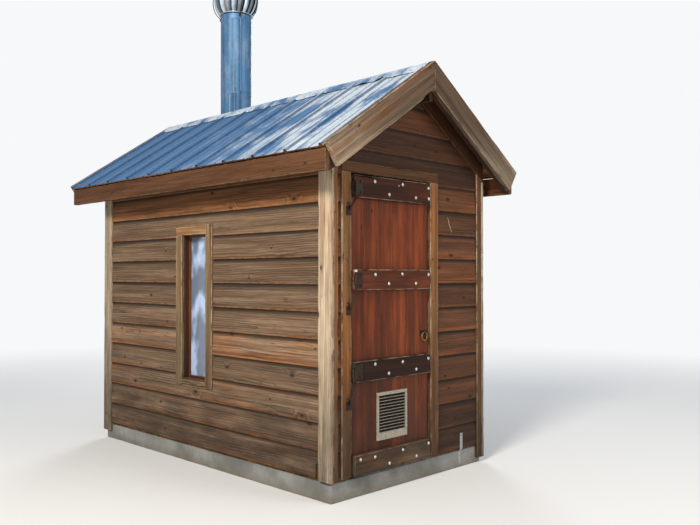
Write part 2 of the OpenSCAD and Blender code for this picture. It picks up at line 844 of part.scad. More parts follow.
// Perforated strap that ties the wall to the base
module tie_strap() color("gray") {
    x = -hw + 1397;
    y = -wall_y;
    difference() {
        lay_x(x, x + 33)
            polygon([
                [y, 28], [y, clad_z - butt_t - 6], [y - butt_t, clad_z - 4], [y - butt_t, 269],
                [y - butt_t - 2, 269], [y - butt_t - 2, clad_z - 5], [y - 2, clad_z - butt_t - 7],
                [y - 2, 28]
            ]);
        for (z = [41, 93, 197, 249])
            translate([x + 16.5, y + past, z]) rotate([90, 0, 0]) cylinder(h = 60, r = 5);
    }
}

foundation_slab();
front_wall_left();
front_wall_right();
front_gable_wall();
left_wall_front();
left_wall_rear();
left_wall_over_window();
left_wall_under_window();
right_wall();
rear_wall();
front_siding();
left_siding();
right_siding();
rear_siding();
corner_boards_front();
corner_boards_rear();
door_casings();
door_jambs();
door_planks();
door_battens();
door_kick_board();
door_vent_frame();
door_vent_louvres();
door_pull_plate();
door_pull_ring();
hinge_pintles();
hinge_straps();
window_casing();
window_frame();
window_sash();
window_glass();
rafters();
ridge_board();
roof_deck_left();
roof_deck_right();
roof_sheet_left();
roof_sheet_right();
ridge_cap();
fascia_boards();
barge_boards_front();
barge_boards_rear();
frieze_boards();
vent_stack();
stack_flashing();
turbine_collar();
turbine_braces();
turbine_head();
tie_strap();
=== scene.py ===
"""The wooden outhouse's boards, sheet metal, fittings, glass and concrete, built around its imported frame."""

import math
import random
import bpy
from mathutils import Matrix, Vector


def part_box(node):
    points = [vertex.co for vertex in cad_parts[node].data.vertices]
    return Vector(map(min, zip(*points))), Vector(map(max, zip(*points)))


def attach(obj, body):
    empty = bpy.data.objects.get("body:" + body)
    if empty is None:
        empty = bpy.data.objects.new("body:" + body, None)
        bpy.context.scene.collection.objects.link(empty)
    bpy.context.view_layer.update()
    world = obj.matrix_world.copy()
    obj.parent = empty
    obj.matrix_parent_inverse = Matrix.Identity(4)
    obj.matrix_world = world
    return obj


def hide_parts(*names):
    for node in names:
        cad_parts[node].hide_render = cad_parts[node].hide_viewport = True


bl_info = {
    "name": "Wooden Outhouse",
    "version": (1, 0, 0),
    "blender": (4, 5, 0),
    "location": "3D View > Sidebar > Outhouse",
    "description": "Weathered boards, ribbed roof, vent stack, door fittings and a studio stage",
    "category": "Object",
}

import bmesh
import bpy
import numpy as np
from mathutils import Vector, noise

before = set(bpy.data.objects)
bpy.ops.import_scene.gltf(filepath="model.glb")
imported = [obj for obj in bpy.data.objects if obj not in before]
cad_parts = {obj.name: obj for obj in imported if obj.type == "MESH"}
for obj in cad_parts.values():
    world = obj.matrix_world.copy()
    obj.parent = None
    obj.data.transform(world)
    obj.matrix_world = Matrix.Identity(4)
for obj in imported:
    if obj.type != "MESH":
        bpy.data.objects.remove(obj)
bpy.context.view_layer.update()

X, Y, Z = Vector((1, 0, 0)), Vector((0, 1, 0)), Vector((0, 0, 1))


def solids(node):
    """The lowest and highest corners of each separate solid of a CAD node, sorted by place."""
    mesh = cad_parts[node].data
    spot_of = {}
    ids = []
    for v in mesh.vertices:
        ids.append(spot_of.setdefault(tuple(round(c, 5) for c in v.co), len(spot_of)))
    parent = list(range(len(spot_of)))

    def root(a):
        while parent[a] != a:
            parent[a] = parent[parent[a]]
            a = parent[a]
        return a

    for e in mesh.edges:
        parent[root(ids[e.vertices[0]])] = root(ids[e.vertices[1]])
    groups = {}
    for spot, i in spot_of.items():
        groups.setdefault(root(i), []).append(spot)
    found = []
    for spots in groups.values():
        a = np.array(spots)
        found.append((Vector(a.min(0)), Vector(a.max(0))))
    return sorted(found, key=lambda b: tuple(round(c, 3) for c in (b[0].z, b[0].x, b[0].y)))


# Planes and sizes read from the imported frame, in metres
slab_lo, slab_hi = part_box("foundation_slab")
corner_lo, corner_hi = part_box("corner_boards_front")
casing_lo, casing_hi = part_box("door_casings")
leaf_lo, leaf_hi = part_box("door_planks")
siding_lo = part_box("left_siding")[0]
sheet_lo, sheet_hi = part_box("roof_sheet_right")
deck_lo, deck_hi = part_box("roof_deck_right")
fascia_lo, fascia_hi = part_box("fascia_boards")
barge_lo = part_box("barge_boards_front")[0]
stack_lo, stack_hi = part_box("vent_stack")
head_lo, head_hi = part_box("turbine_head")
HALF_W, HALF_L = corner_hi.x, -corner_lo.y
WALL_X, WALL_Y = slab_hi.x, slab_hi.y
TRIM = HALF_W - WALL_X
PITCH = math.radians(33.7)
SHEET, DECK, RAFTER = 0.002, 0.020, 0.140
# Thickness of the rafters and of the boards at the roof's edges, and room left where timbers meet
TIMBER, JOINT = 0.038, 0.0006
# Room between the roof boards and the sheet, and between the roof boards and the ridge's middle
SLACK, DECK_GAP = 0.00005, 0.0003
UNDER = SHEET + DECK + RAFTER
RIDGE_Z = deck_hi.z + (SHEET + SLACK) / math.cos(PITCH) + DECK_GAP * math.tan(PITCH)
RIB = 0.018
EAVE_X = sheet_hi.x - RIB * math.sin(PITCH)
FASCIA_X = fascia_hi.x
stack_axis = Vector(((stack_lo.x + stack_hi.x) / 2, (stack_lo.y + stack_hi.y) / 2, 0))


def slope_axes(side):
    """Down a roof slope, and square up from it."""
    across, high = math.cos(PITCH), math.sin(PITCH)
    return Vector((side * across, 0, -high)), Vector((side * high, 0, across))


def round_axes(angle):
    """Outward and sideways, at an angle round an upright axis."""
    return Vector((math.cos(angle), math.sin(angle), 0)), Vector((-math.sin(angle), math.cos(angle), 0))


def on_ridge(y):
    """The place where the two roof sheets' flat faces meet."""
    return Vector((0, y, RIDGE_Z))


def slope_z(x, depth):
    """Height of a plane that lies the given depth below the roof sheet's flat face."""
    return RIDGE_Z - abs(x) * math.tan(PITCH) - depth / math.cos(PITCH)


def srgb(r, g, b):
    """A colour given as it looks on screen, 0 to 255, in linear values."""
    def one(c):
        c /= 255
        return c / 12.92 if c <= 0.04045 else ((c + 0.055) / 1.055) ** 2.4
    return (one(r), one(g), one(b))


def scaled(colour, factor):
    """A colour made lighter or darker."""
    return tuple(min(1.0, c * factor) for c in colour)


def colour_prop(name, text, rgb):
    return bpy.props.FloatVectorProperty(
        name=name, description=text, subtype="COLOR", size=3, min=0, max=1, default=srgb(*rgb)
    )


def length_prop(name, text, value, low, high):
    return bpy.props.FloatProperty(
        name=name, description=text, default=value, min=low, max=high, unit="LENGTH", subtype="DISTANCE"
    )


class BoardSettings(bpy.types.PropertyGroup):
    """Sizes and colours of the outhouse's boards."""

    lap: length_prop("Siding exposure", "Height of a siding board that shows", 0.184, 0.12, 0.23)
    butt: length_prop("Siding butt", "Depth of a siding board's lower edge", 0.018, 0.012, 0.024)
    tip: length_prop("Siding tip", "Depth of a siding board at its upper edge", 0.007, 0.004, 0.011)
    sunned: colour_prop("Sunned siding", "Weathered siding on the long walls", (134, 111, 89))
    sunned_warm: colour_prop("Sunned siding, warm", "Warm wood that shows through the grey", (146, 96, 60))
    sunned_dark: colour_prop("Sunned siding, dark", "Dark grain and knots in that siding", (54, 40, 32))
    sheltered: colour_prop("Sheltered siding", "Brown stained siding on the gable walls", (90, 60, 42))
    sheltered_warm: colour_prop("Sheltered siding, warm", "Redder wood in the stained siding", (114, 68, 40))
    sheltered_dark: colour_prop("Sheltered siding, dark", "Latewood in the stained siding", (38, 25, 18))
    trim: colour_prop("Trim", "Weathered trim boards", (120, 90, 60))
    trim_warm: colour_prop("Trim, warm", "Warm wood in the trim", (138, 86, 46))
    trim_dark: colour_prop("Trim, dark", "Dark grain and knots in the trim", (58, 41, 29))
    eave: colour_prop("Eave boards", "Fascia and the casing over the door", (98, 68, 46))
    eave_warm: colour_prop("Eave boards, warm", "Warm wood in the eave boards", (118, 70, 39))
    eave_dark: colour_prop("Eave boards, dark", "Dark grain in the eave boards", (46, 32, 24))
    door: colour_prop("Door", "Reddish stained planks", (86, 37, 16))
    door_warm: colour_prop("Door, warm", "Orange wood where the stain is thin", (138, 65, 27))
    door_dark: colour_prop("Door, dark", "Dark grain of the door", (44, 20, 12))
    batten: colour_prop("Battens", "Door battens", (60, 33, 20))
    batten_warm: colour_prop("Battens, warm", "Red wood in the battens", (112, 54, 31))
    batten_dark: colour_prop("Battens, dark", "Dark grain of the battens", (30, 21, 17))
    kick: colour_prop("Kick board", "Weathered board along the door's foot", (112, 94, 75))
    bare: colour_prop("Bare timber", "Unfinished timber of the roof and walls", (168, 132, 92))
    # The pale side faces of the corner boards are partly bleached wood and partly painted sunlight
    pale: colour_prop("Pale trim", "Bleached corner boards on the long walls", (198, 178, 150))
    barge: colour_prop("Barge boards", "Greyer boards along the gable's edges", (100, 84, 67))
    window: colour_prop("Window trim", "Yellowish weathered trim of the window", (150, 126, 92))


class MetalSettings(bpy.types.PropertyGroup):
    """Sizes and colours of the outhouse's metal, glass and concrete."""

    rib_pitch: length_prop("Rib spacing", "Distance between the roof's ribs", 0.339, 0.2, 0.42)
    rib_height: length_prop("Rib height", "Height of the roof's ribs", RIB, 0.01, 0.03)
    cap_width: length_prop("Ridge cap", "Reach of the ridge cap down each slope", 0.112, 0.09, 0.22)
    vanes: bpy.props.IntProperty(
        name="Vanes", description="Number of vanes on the turbine", default=20, min=12, max=28
    )
    slats: bpy.props.IntProperty(
        name="Louvre slats", description="Number of slats in the door's vent", default=12, min=6, max=16
    )
    roof: colour_prop("Roof sheet", "Blue-grey galvanised roof", (76, 120, 166))
    roof_pale: colour_prop("Roof sheet, pale", "Chalky bloom on the roof", (202, 212, 221))
    # The dark roof colour also paints the shade on the ribs' sides
    roof_dark: colour_prop("Roof sheet, dark", "Dull streaks on the roof", (46, 74, 106))
    zinc: colour_prop("Galvanised pipe", "Stack and turbine", (84, 125, 163))
    zinc_pale: colour_prop("Galvanised pipe, pale", "Bright zinc", (186, 198, 208))
    # The dark pipe colour also paints the reflections on the stack
    zinc_dark: colour_prop("Galvanised pipe, dark", "Dull streaks and stains", (38, 58, 70))
    bolt: colour_prop("Bolts", "Galvanised bolt heads", (196, 196, 190))
    iron: colour_prop("Iron", "Dark iron of the hinges", (44, 38, 34))
    rust: colour_prop("Rust", "Rust on iron", (108, 58, 30))
    brass: colour_prop("Latch", "Dull yellow metal of the latch", (150, 122, 70))
    vent: colour_prop("Vent", "Pale metal of the louvre vent", (160, 152, 136))
    pane: colour_prop("Pane", "Frosted window pane", (140, 153, 176))
    concrete: colour_prop("Concrete", "Cast concrete base", (130, 129, 123))
    floor: colour_prop("Floor", "Studio floor", (226, 225, 222))


# Shader helpers


class Net:
    """A node tree that is written as calls: a socket given as a value is linked, and anything else is set."""

    def __init__(self, tree):
        self.tree = tree

    def add(self, kind, *values, out=0, **named):
        made = self.tree.nodes.new(kind)
        sockets = {}
        for key, value in named.items():
            if hasattr(made, key) and key not in ("inputs", "outputs"):
                setattr(made, key, value)
            else:
                sockets[key] = value
        for place, value in enumerate(values):
            self.put(made.inputs[place], value)
        for key, value in sockets.items():
            self.put(made.inputs[key.replace("_", " ")], value)
        return made.outputs[out] if out is not None else made

    def put(self, socket, value):
        if value is None:
            return
        if isinstance(value, bpy.types.NodeSocket):
            self.tree.links.new(value, socket)
        elif socket.type == "RGBA" and len(value) == 3:
            socket.default_value = (*value, 1)
        else:
            socket.default_value = value

    def math(self, operation, a, b=None, c=None, clamp=False):
        return self.add("ShaderNodeMath", a, b, c, operation=operation, use_clamp=clamp)

    def times(self, a, b):
        return self.math("MULTIPLY", a, b)

    def plus(self, a, b):
        return self.math("ADD", a, b)

    def scaled(self, vector, scale):
        return self.add("ShaderNodeVectorMath", vector, scale, operation="MULTIPLY")

    def noise(self, vector, scale, detail, rough):
        return self.add("ShaderNodeTexNoise", Vector=vector, Scale=scale, Detail=detail, Roughness=rough)

    def cloud(self, vector, scale, detail=3.0, rough=0.6):
        """Noise whose grain is drawn out by a scale for each axis."""
        return self.noise(self.scaled(vector, scale), 1.0, detail, rough)

    def ramp(self, value, low, high, to_low=0.0, to_high=1.0):
        return self.add("ShaderNodeMapRange", value, low, high, to_low, to_high,
                        interpolation_type="SMOOTHSTEP")

    def blend(self, factor, a, b, mode="MIX"):
        made = self.tree.nodes.new("ShaderNodeMix")
        made.data_type, made.blend_type, made.clamp_factor = "RGBA", mode, True
        self.put(made.inputs[0], factor)
        self.put(made.inputs[6], a)
        self.put(made.inputs[7], b)
        return made.outputs[2]

    def lit(self, colour, lift):
        """A colour made lighter or darker by a factor."""
        grey = self.add("ShaderNodeCombineColor", lift, lift, lift)
        return self.blend(1.0, colour, grey, "MULTIPLY")

    def mark(self, name, out="Fac"):
        return self.add("ShaderNodeAttribute", attribute_name=name, out=out)


def sockets(kind, **defaults):
    """Inputs of one kind for a node group, each with its name and default."""
    return [(name, kind, default) for name, default in defaults.items()]


def group(name, inputs, outputs, build):
    """Makes a shader node group once. inputs come from sockets, and outputs holds (name, kind)."""
    if name in bpy.data.node_groups:
        return bpy.data.node_groups[name]
    tree = bpy.data.node_groups.new(name, "ShaderNodeTree")
    for label, kind, default in inputs:
        socket = tree.interface.new_socket(label, in_out="INPUT", socket_type="NodeSocket" + kind)
        if default is not None:
            socket.default_value = default
    for label, kind in outputs:
        tree.interface.new_socket(label, in_out="OUTPUT", socket_type="NodeSocket" + kind)
    start = tree.nodes.new("NodeGroupInput")
    end = tree.nodes.new("NodeGroupOutput")
    net = Net(tree)
    results = build(net, {s.name: s for s in start.outputs if s.name})
    for label, _ in outputs:
        net.put(end.inputs[label], results[label])
    return tree


def grain_group():
    """Sawn softwood: fibre, growth rings, knots and drying cracks, along the grain vector's first axis."""

    def build(net, given):
        v = given["Grain"]
        knot_place = net.scaled(v, (3.1, 6.4, 3.1))
        cells = net.add("ShaderNodeTexVoronoi", Vector=knot_place, Scale=1.0, Randomness=0.9,
                        voronoi_dimensions="2D", out=None)
        chances = net.add("ShaderNodeSeparateColor", cells.outputs["Color"], out=None)
        size = net.ramp(chances.outputs[1], 0.0, 1.0, 0.45, 1.15)
        near = net.math("DIVIDE", cells.outputs["Distance"], size)
        real = net.ramp(net.math("SUBTRACT", chances.outputs[0], given["Knots"]), 0.0, 0.02)
        pull = net.times(net.ramp(near, 0.0, 0.34, 1.0, 0.0), real)
        knot = net.times(net.ramp(near, 0.045, 0.075, 1.0, 0.0), real)
        halo = net.times(net.ramp(near, 0.06, 0.15, 1.0, 0.0), real)
        parts = net.add("ShaderNodeSeparateXYZ", v, out=None)
        wobble = net.cloud(v, (2.6, 9.0, 9.0), 3.0, 0.5)
        slow = net.cloud(v, (0.5, 2.0, 2.0), 1.0, 0.5)
        across = net.math("ABSOLUTE", net.plus(parts.outputs[1], net.times(slow, 0.09)))
        bow = net.math("SQRT", net.plus(net.math("POWER", across, 2.0), 0.0016))
        ring_at = net.plus(bow, net.times(wobble, 0.034))
        ring_at = net.plus(ring_at, net.times(pull, 0.03))
        turn = net.math("FRACT", net.times(ring_at, given["Rings"]))
        figure = net.math("POWER", turn, 2.2)
        fade = net.cloud(v, (1.2, 14.0, 14.0), 2.0, 0.6)
        figure = net.times(figure, net.ramp(fade, 0.3, 0.66))
        figure = net.math("MAXIMUM", figure, net.times(halo, 0.6))
        fibre = net.cloud(v, (9.0, 330.0, 330.0))
        streak = net.cloud(v, (1.4, 60.0, 60.0))
        split = net.cloud(v, (2.1, 46.0, 46.0), 1.0, 0.4)
        crack = net.ramp(net.math("ABSOLUTE", net.math("SUBTRACT", split, 0.5)), 0.0, 0.011, 1.0, 0.0)
        allow = net.cloud(v, (1.3, 9.0, 9.0), 1.0, 0.5)
        crack = net.times(crack, net.ramp(allow, 0.52, 0.6))
        high = net.plus(net.times(fibre, 0.35), net.times(figure, 0.45))
        high = net.math("SUBTRACT", high, net.times(crack, 1.3))
        return dict(Fibre=fibre, Streak=streak, Figure=figure, Knot=knot, Crack=crack, Height=high)

    return group(
        "Softwood grain",
        sockets("Vector", Grain=None) + sockets("Float", Rings=150.0, Knots=0.7),
        [(n, "Float") for n in ("Fibre", "Streak", "Figure", "Knot", "Crack", "Height")],
        build,
    )


# Linear colours of the cracks in boards, and of the dirt and painted shade laid on them
CRACK = (0.012, 0.009, 0.007)
SOIL_AND_SHADE = (0.018, 0.014, 0.011)


def board_colour_group():
    """Lays a board's colours over its grain: body, warm patches, dark figure, knots, worn edges, and dirt with
    painted shade.
    """

    def build(net, given):
        v = given["Grain"]
        patch = net.cloud(v, (1.1, 5.0, 5.0))
        toned = net.plus(patch, net.times(given["Tone"], 0.3))
        warm = net.ramp(net.plus(toned, given["Warmth"]), 0.54, 0.92)
        colour = net.blend(warm, given["Body"], given["Warm"])
        streaky = net.times(net.ramp(given["Streak"], 0.42, 0.72), 0.5)
        colour = net.blend(streaky, colour, given["Warm"])
        # Tone lifts or darkens the whole board. It is random for most boards; a low tone set for a board in
        # shade is painted shade, and the middle batten's high tone is painted sunlight
        lift = net.plus(0.68, net.times(given["Tone"], 0.56))
        band = net.cloud(v, (0.7, 21.0, 21.0), 4.0, 0.62)
        lift = net.times(lift, net.ramp(band, 0.34, 0.66, 0.72, 1.2))
        lift = net.times(lift, net.ramp(given["Fibre"], 0.25, 0.75, 0.74, 1.22))
        lift = net.times(lift, net.ramp(given["Streak"], 0.34, 0.66, 1.14, 0.78))
        colour = net.lit(colour, lift)
        lines = net.times(given["Figure"], given["Strength"])
        colour = net.blend(lines, colour, given["Dark"])
        colour = net.blend(net.times(given["Knot"], 0.86), colour, given["Dark"])
        colour = net.blend(net.times(given["Crack"], 0.8), colour, CRACK)
        rub = net.cloud(v, (14.0, 60.0, 60.0))
        worn = net.times(given["Edge"], net.ramp(rub, 0.36, 0.62))
        colour = net.blend(net.times(worn, given["Wear"]), colour, given["Worn"])
        # Darkens towards the soil colour: towards the bottom of the boards, and on siding also under each lap
        # (partly dirt, partly painted shade) and under the eaves (painted shade)
        colour = net.blend(given["Dirt"], colour, SOIL_AND_SHADE)
        return {"Color": colour}

    return group(
        "Board colours",
        sockets("Vector", Grain=None)
        + sockets("Color", Body=None, Warm=None, Dark=None, Worn=None)
        + sockets("Float", Tone=0.5, Edge=0.0, Fibre=0.5, Streak=0.5, Figure=0.0, Knot=0.0, Crack=0.0)
        + sockets("Float", Warmth=0.0, Strength=0.6, Wear=0.6, Dirt=0.0),
        [("Color", "Color")],
        build,
    )


def zinc_group():
    """Galvanised sheet: crystal spangle, run-off streaks, chalky bloom and small dents, with an Edge mark that
    darkens it and a Tone that lifts or lowers it, which the pieces use for painted shade, reflections and
    light.
    """

    def build(net, given):
        v = given["Sheet"]
        crystals = net.add("ShaderNodeTexVoronoi", Vector=v, Scale=95.0, Randomness=1.0, out=None)
        crystal = net.add("ShaderNodeSeparateColor", crystals.outputs["Color"], out=0)
        run = net.cloud(v, (1.3, 34.0, 34.0), 4.0, 0.62)
        bloom = net.cloud(v, (2.4, 4.2, 4.2), 5.0, 0.62)
        spots = net.cloud(v, (22.0, 22.0, 22.0))
        pale = net.ramp(net.plus(bloom, net.times(given["Bloom"], 0.16)), 0.54, 0.74)
        dull = net.times(net.ramp(run, 0.48, 0.72), net.ramp(spots, 0.3, 0.62, 0.45, 1.0))
        dents = net.cloud(v, (3.0, 5.0, 5.0), 2.0, 0.5)
        colour = net.blend(net.times(pale, given["Bloom"]), given["Body"], given["Pale"])
        colour = net.blend(net.times(dull, given["Streaks"]), colour, given["Dark"])
        # Darker where the Edge mark is set: painted shade on the roof's ribs, painted reflections on the
        # stack, and partly stain, partly painted shade on the turbine's vanes
        colour = net.blend(net.times(given["Edge"], 0.78), colour, given["Dark"])
        spangle = net.ramp(crystal, 0.0, 1.0, 0.88, 1.1)
        # Tone lifts or lowers the sheet; on the turbine's vanes it is painted light and shade
        spangle_and_tone = net.times(spangle, net.ramp(given["Tone"], 0.0, 1.0, 0.4, 1.6))
        colour = net.lit(colour, spangle_and_tone)
        rough = net.plus(given["Gloss"], net.times(crystal, 0.1))
        rough = net.math("ADD", rough, net.times(pale, 0.16), None, True)
        return {"Color": colour, "Roughness": rough, "Height": dents}

    return group(
        "Galvanised sheet",
        sockets("Vector", Sheet=None)
        + sockets("Color", Body=None, Pale=None, Dark=None)
        + sockets("Float", Bloom=0.6, Streaks=0.5, Gloss=0.3, Edge=0.0, Tone=0.5),
        [("Color", "Color"), ("Roughness", "Float"), ("Height", "Float")],
        build,
    )


def new_material(name):
    material = bpy.data.materials.new(name)
    material.use_nodes = True
    tree = material.node_tree
    tree.nodes.clear()
    net = Net(tree)
    shader = net.add("ShaderNodeBsdfPrincipled", out=None)
    end = net.add("ShaderNodeOutputMaterial", out=None)
    tree.links.new(shader.outputs[0], end.inputs[0])
    return material, net, shader


def finish(net, shader, colour, rough, height, strength, distance, **plain):
    """Links a finish's colour, roughness and relief, and sets the plain values of the sockets named."""
    net.put(shader.inputs["Base Color"], colour)
    net.put(shader.inputs["Roughness"], rough)
    bump = net.add("ShaderNodeBump", Strength=strength, Distance=distance, Height=height)
    net.put(shader.inputs["Normal"], bump)
    for key, value in plain.items():
        shader.inputs[key.replace("_", " ")].default_value = value


def use_group(net, tree, **values):
    made = net.tree.nodes.new("ShaderNodeGroup")
    made.node_tree = tree
    for key, value in values.items():
        net.put(made.inputs[key], value)
    return made.outputs


def wood(name, body, warm, dark, worn, *, rings=150.0, knots=0.78, warmth=0.0, strength=0.6, wear=0.6,
         rough=(0.62, 0.9), relief=0.0011, lapped=False, grain=None, coat=0.0, sheltered=0.0, bleach=None):
    """A board material. knots is the share of places without one. lapped adds bare wood along a siding board's
    foot, and darkening under each lap, partly dirt and partly painted shade, and painted shade under the
    eaves. Below the bleaching height boards turn pale: partly weathered wood, partly painted sunlight."""
    material, net, shader = new_material(name)
    v = grain(net) if grain else net.mark("grain", "Vector")
    cut = use_group(net, grain_group(), Grain=v, Rings=rings, Knots=knots)
    height = net.mark("height")
    blotches = net.ramp(net.cloud(v, (3.0, 9.0, 9.0), 4.0), 0.24, 0.62, 0.45, 1.0)
    # Darker in blotches towards the bottom, up to about 1.35 m
    dirt_and_shade = net.times(net.ramp(height, 0.12, 1.35, 0.74, 0.0), blotches)
    if bleach:
        # Paler towards the foot of the boards: partly bleached wood, partly painted sunlight
        body = net.blend(net.ramp(height, bleach - 0.4, bleach, 0.62, 0.0), body, worn)
    if lapped:
        lap = net.mark("lap")
        # Darker under the eaves: painted shade
        dirt_and_shade = net.math("MAXIMUM", dirt_and_shade, net.ramp(height, 2.0, 2.14, 0.0, 0.42))
        # Darker just under each lap: partly dirt, partly painted shade
        dirt_and_shade = net.math("MAXIMUM", dirt_and_shade, net.times(net.ramp(lap, 0.76, 0.96), 0.9))
        foot = net.times(net.cloud(v, (4.0, 30.0, 30.0)), 0.25)
        bare = net.math("SUBTRACT", net.ramp(lap, 0.02, 0.3, 0.34, 0.0), foot)
        warmth = net.plus(bare, net.ramp(height, 1.95, 2.1, warmth, warmth + sheltered))
    figure = {key: cut[key] for key in ("Fibre", "Streak", "Figure", "Knot", "Crack")}
    colours = use_group(
        net, board_colour_group(), Grain=v, Tone=net.mark("tone"), Edge=net.mark("edge"), Body=body,
        Warm=warm, Dark=dark, Worn=worn, Warmth=warmth, Strength=strength, Wear=wear, Dirt=dirt_and_shade, **figure,
    )
    dullness = net.ramp(cut["Fibre"], 0.2, 0.8, *rough)
    finish(net, shader, colours["Color"], dullness, cut["Height"], 0.75, relief, Specular_IOR_Level=0.12)
    if coat:
        shader.inputs["Coat Weight"].default_value = coat
        shader.inputs["Coat Roughness"].default_value = 0.3
    return material


def object_grain():
    """Grain coordinates for a CAD node that stands upright, from its own axes."""

    def coordinates(net):
        parts = net.add("ShaderNodeSeparateXYZ", net.add("ShaderNodeTexCoord", out="Object"), out=None)
        return net.add("ShaderNodeCombineXYZ", parts.outputs[2], parts.outputs[0], parts.outputs[1])

    return coordinates


def galvanised(name, body, pale, dark, *, bloom=0.6, streaks=0.5, gloss=0.3, metal=0.5, relief=0.004,
               coordinates=None):
    """A sheet metal finish. Pieces made here carry its marks: edge for stains and for painted shade and
    reflections, tone for painted light on the vanes, and lap for bloom, which on the roof includes painted
    sunlight.
    """
    material, net, shader = new_material(name)
    v = coordinates(net) if coordinates else net.mark("grain", "Vector")
    marks = {}
    if not coordinates:
        marks = {"Edge": net.mark("edge"), "Tone": net.mark("tone")}
        # The lap mark sets the bloom; on the roof it also carries a painted sunlit patch
        bloom = net.times(net.mark("lap"), bloom * 2)
    sheet = use_group(net, zinc_group(), Sheet=v, Body=body, Pale=pale, Dark=dark, Bloom=bloom,
                      Streaks=streaks, Gloss=gloss, **marks)
    finish(net, shader, sheet["Color"], sheet["Roughness"], sheet["Height"], 0.5, relief, Metallic=metal)
    return material


def iron(name, body, rust, amount, rough, metal):
    """A pitted metal finish with flakes of rust or dirt."""
    material, net, shader = new_material(name)
    place = net.add("ShaderNodeTexCoord", out="Object")
    flakes = net.noise(place, 42.0, 6.0, 0.7)
    pits = net.noise(place, 190.0, 3.0, 0.6)
    colour = net.blend(net.times(net.ramp(flakes, 0.46, 0.62), amount), body, rust)
    colour = net.lit(colour, net.ramp(pits, 0.2, 0.8, 0.75, 1.2))
    dullness = net.ramp(flakes, 0.3, 0.7, rough - 0.15, rough + 0.2)
    finish(net, shader, colour, dullness, net.plus(pits, flakes), 0.4, 0.0008, Metallic=metal)
    return material


def concrete(name, body):
    """Cast concrete with blotches, grit, small holes and soil along its foot."""
    material, net, shader = new_material(name)
    place = net.add("ShaderNodeTexCoord", out="Object")
    blotch = net.noise(place, 3.4, 6.0, 0.62)
    sand = net.noise(place, 240.0, 3.0, 0.65)
    holes = net.add("ShaderNodeTexVoronoi", Vector=place, Scale=46.0, Randomness=1.0, out=0)
    pit = net.ramp(holes, 0.09, 0.16, 1.0, 0.0)
    parts = net.add("ShaderNodeSeparateXYZ", place, out=None)
    tide = net.plus(parts.outputs[2], net.times(blotch, 0.05))
    soil = net.ramp(tide, 0.02, 0.11, 0.55, 0.0)
    colour = net.blend(net.ramp(blotch, 0.32, 0.68), scaled(body, 0.62), scaled(body, 1.18))
    colour = net.lit(colour, net.ramp(sand, 0.2, 0.8, 0.84, 1.14))
    colour = net.blend(soil, colour, srgb(104, 92, 74))
    colour = net.blend(net.times(pit, 0.6), colour, srgb(52, 49, 44))
    level = net.math("SUBTRACT", net.plus(net.times(sand, 0.4), blotch), pit)
    finish(net, shader, colour, net.ramp(sand, 0.2, 0.8, 0.84, 0.97), level, 0.6, 0.0025)
    return material


def pane(name, body):
    """A frosted pane with soft pale clouds."""
    material, net, shader = new_material(name)
    place = net.add("ShaderNodeTexCoord", out="Object")
    cloud = net.noise(net.scaled(place, (1.0, 3.0, 2.0)), 2.6, 1.5, 0.45)
    colour = net.blend(net.ramp(cloud, 0.42, 0.7), scaled(body, 0.74), scaled(body, 2.2))
    ripple = net.noise(place, 30.0, 2.0, 0.5)
    finish(net, shader, colour, net.ramp(cloud, 0.3, 0.7, 0.16, 0.3), ripple, 0.15, 0.002,
           Transmission_Weight=0.25, IOR=1.5)
    return material


MATERIALS = {}


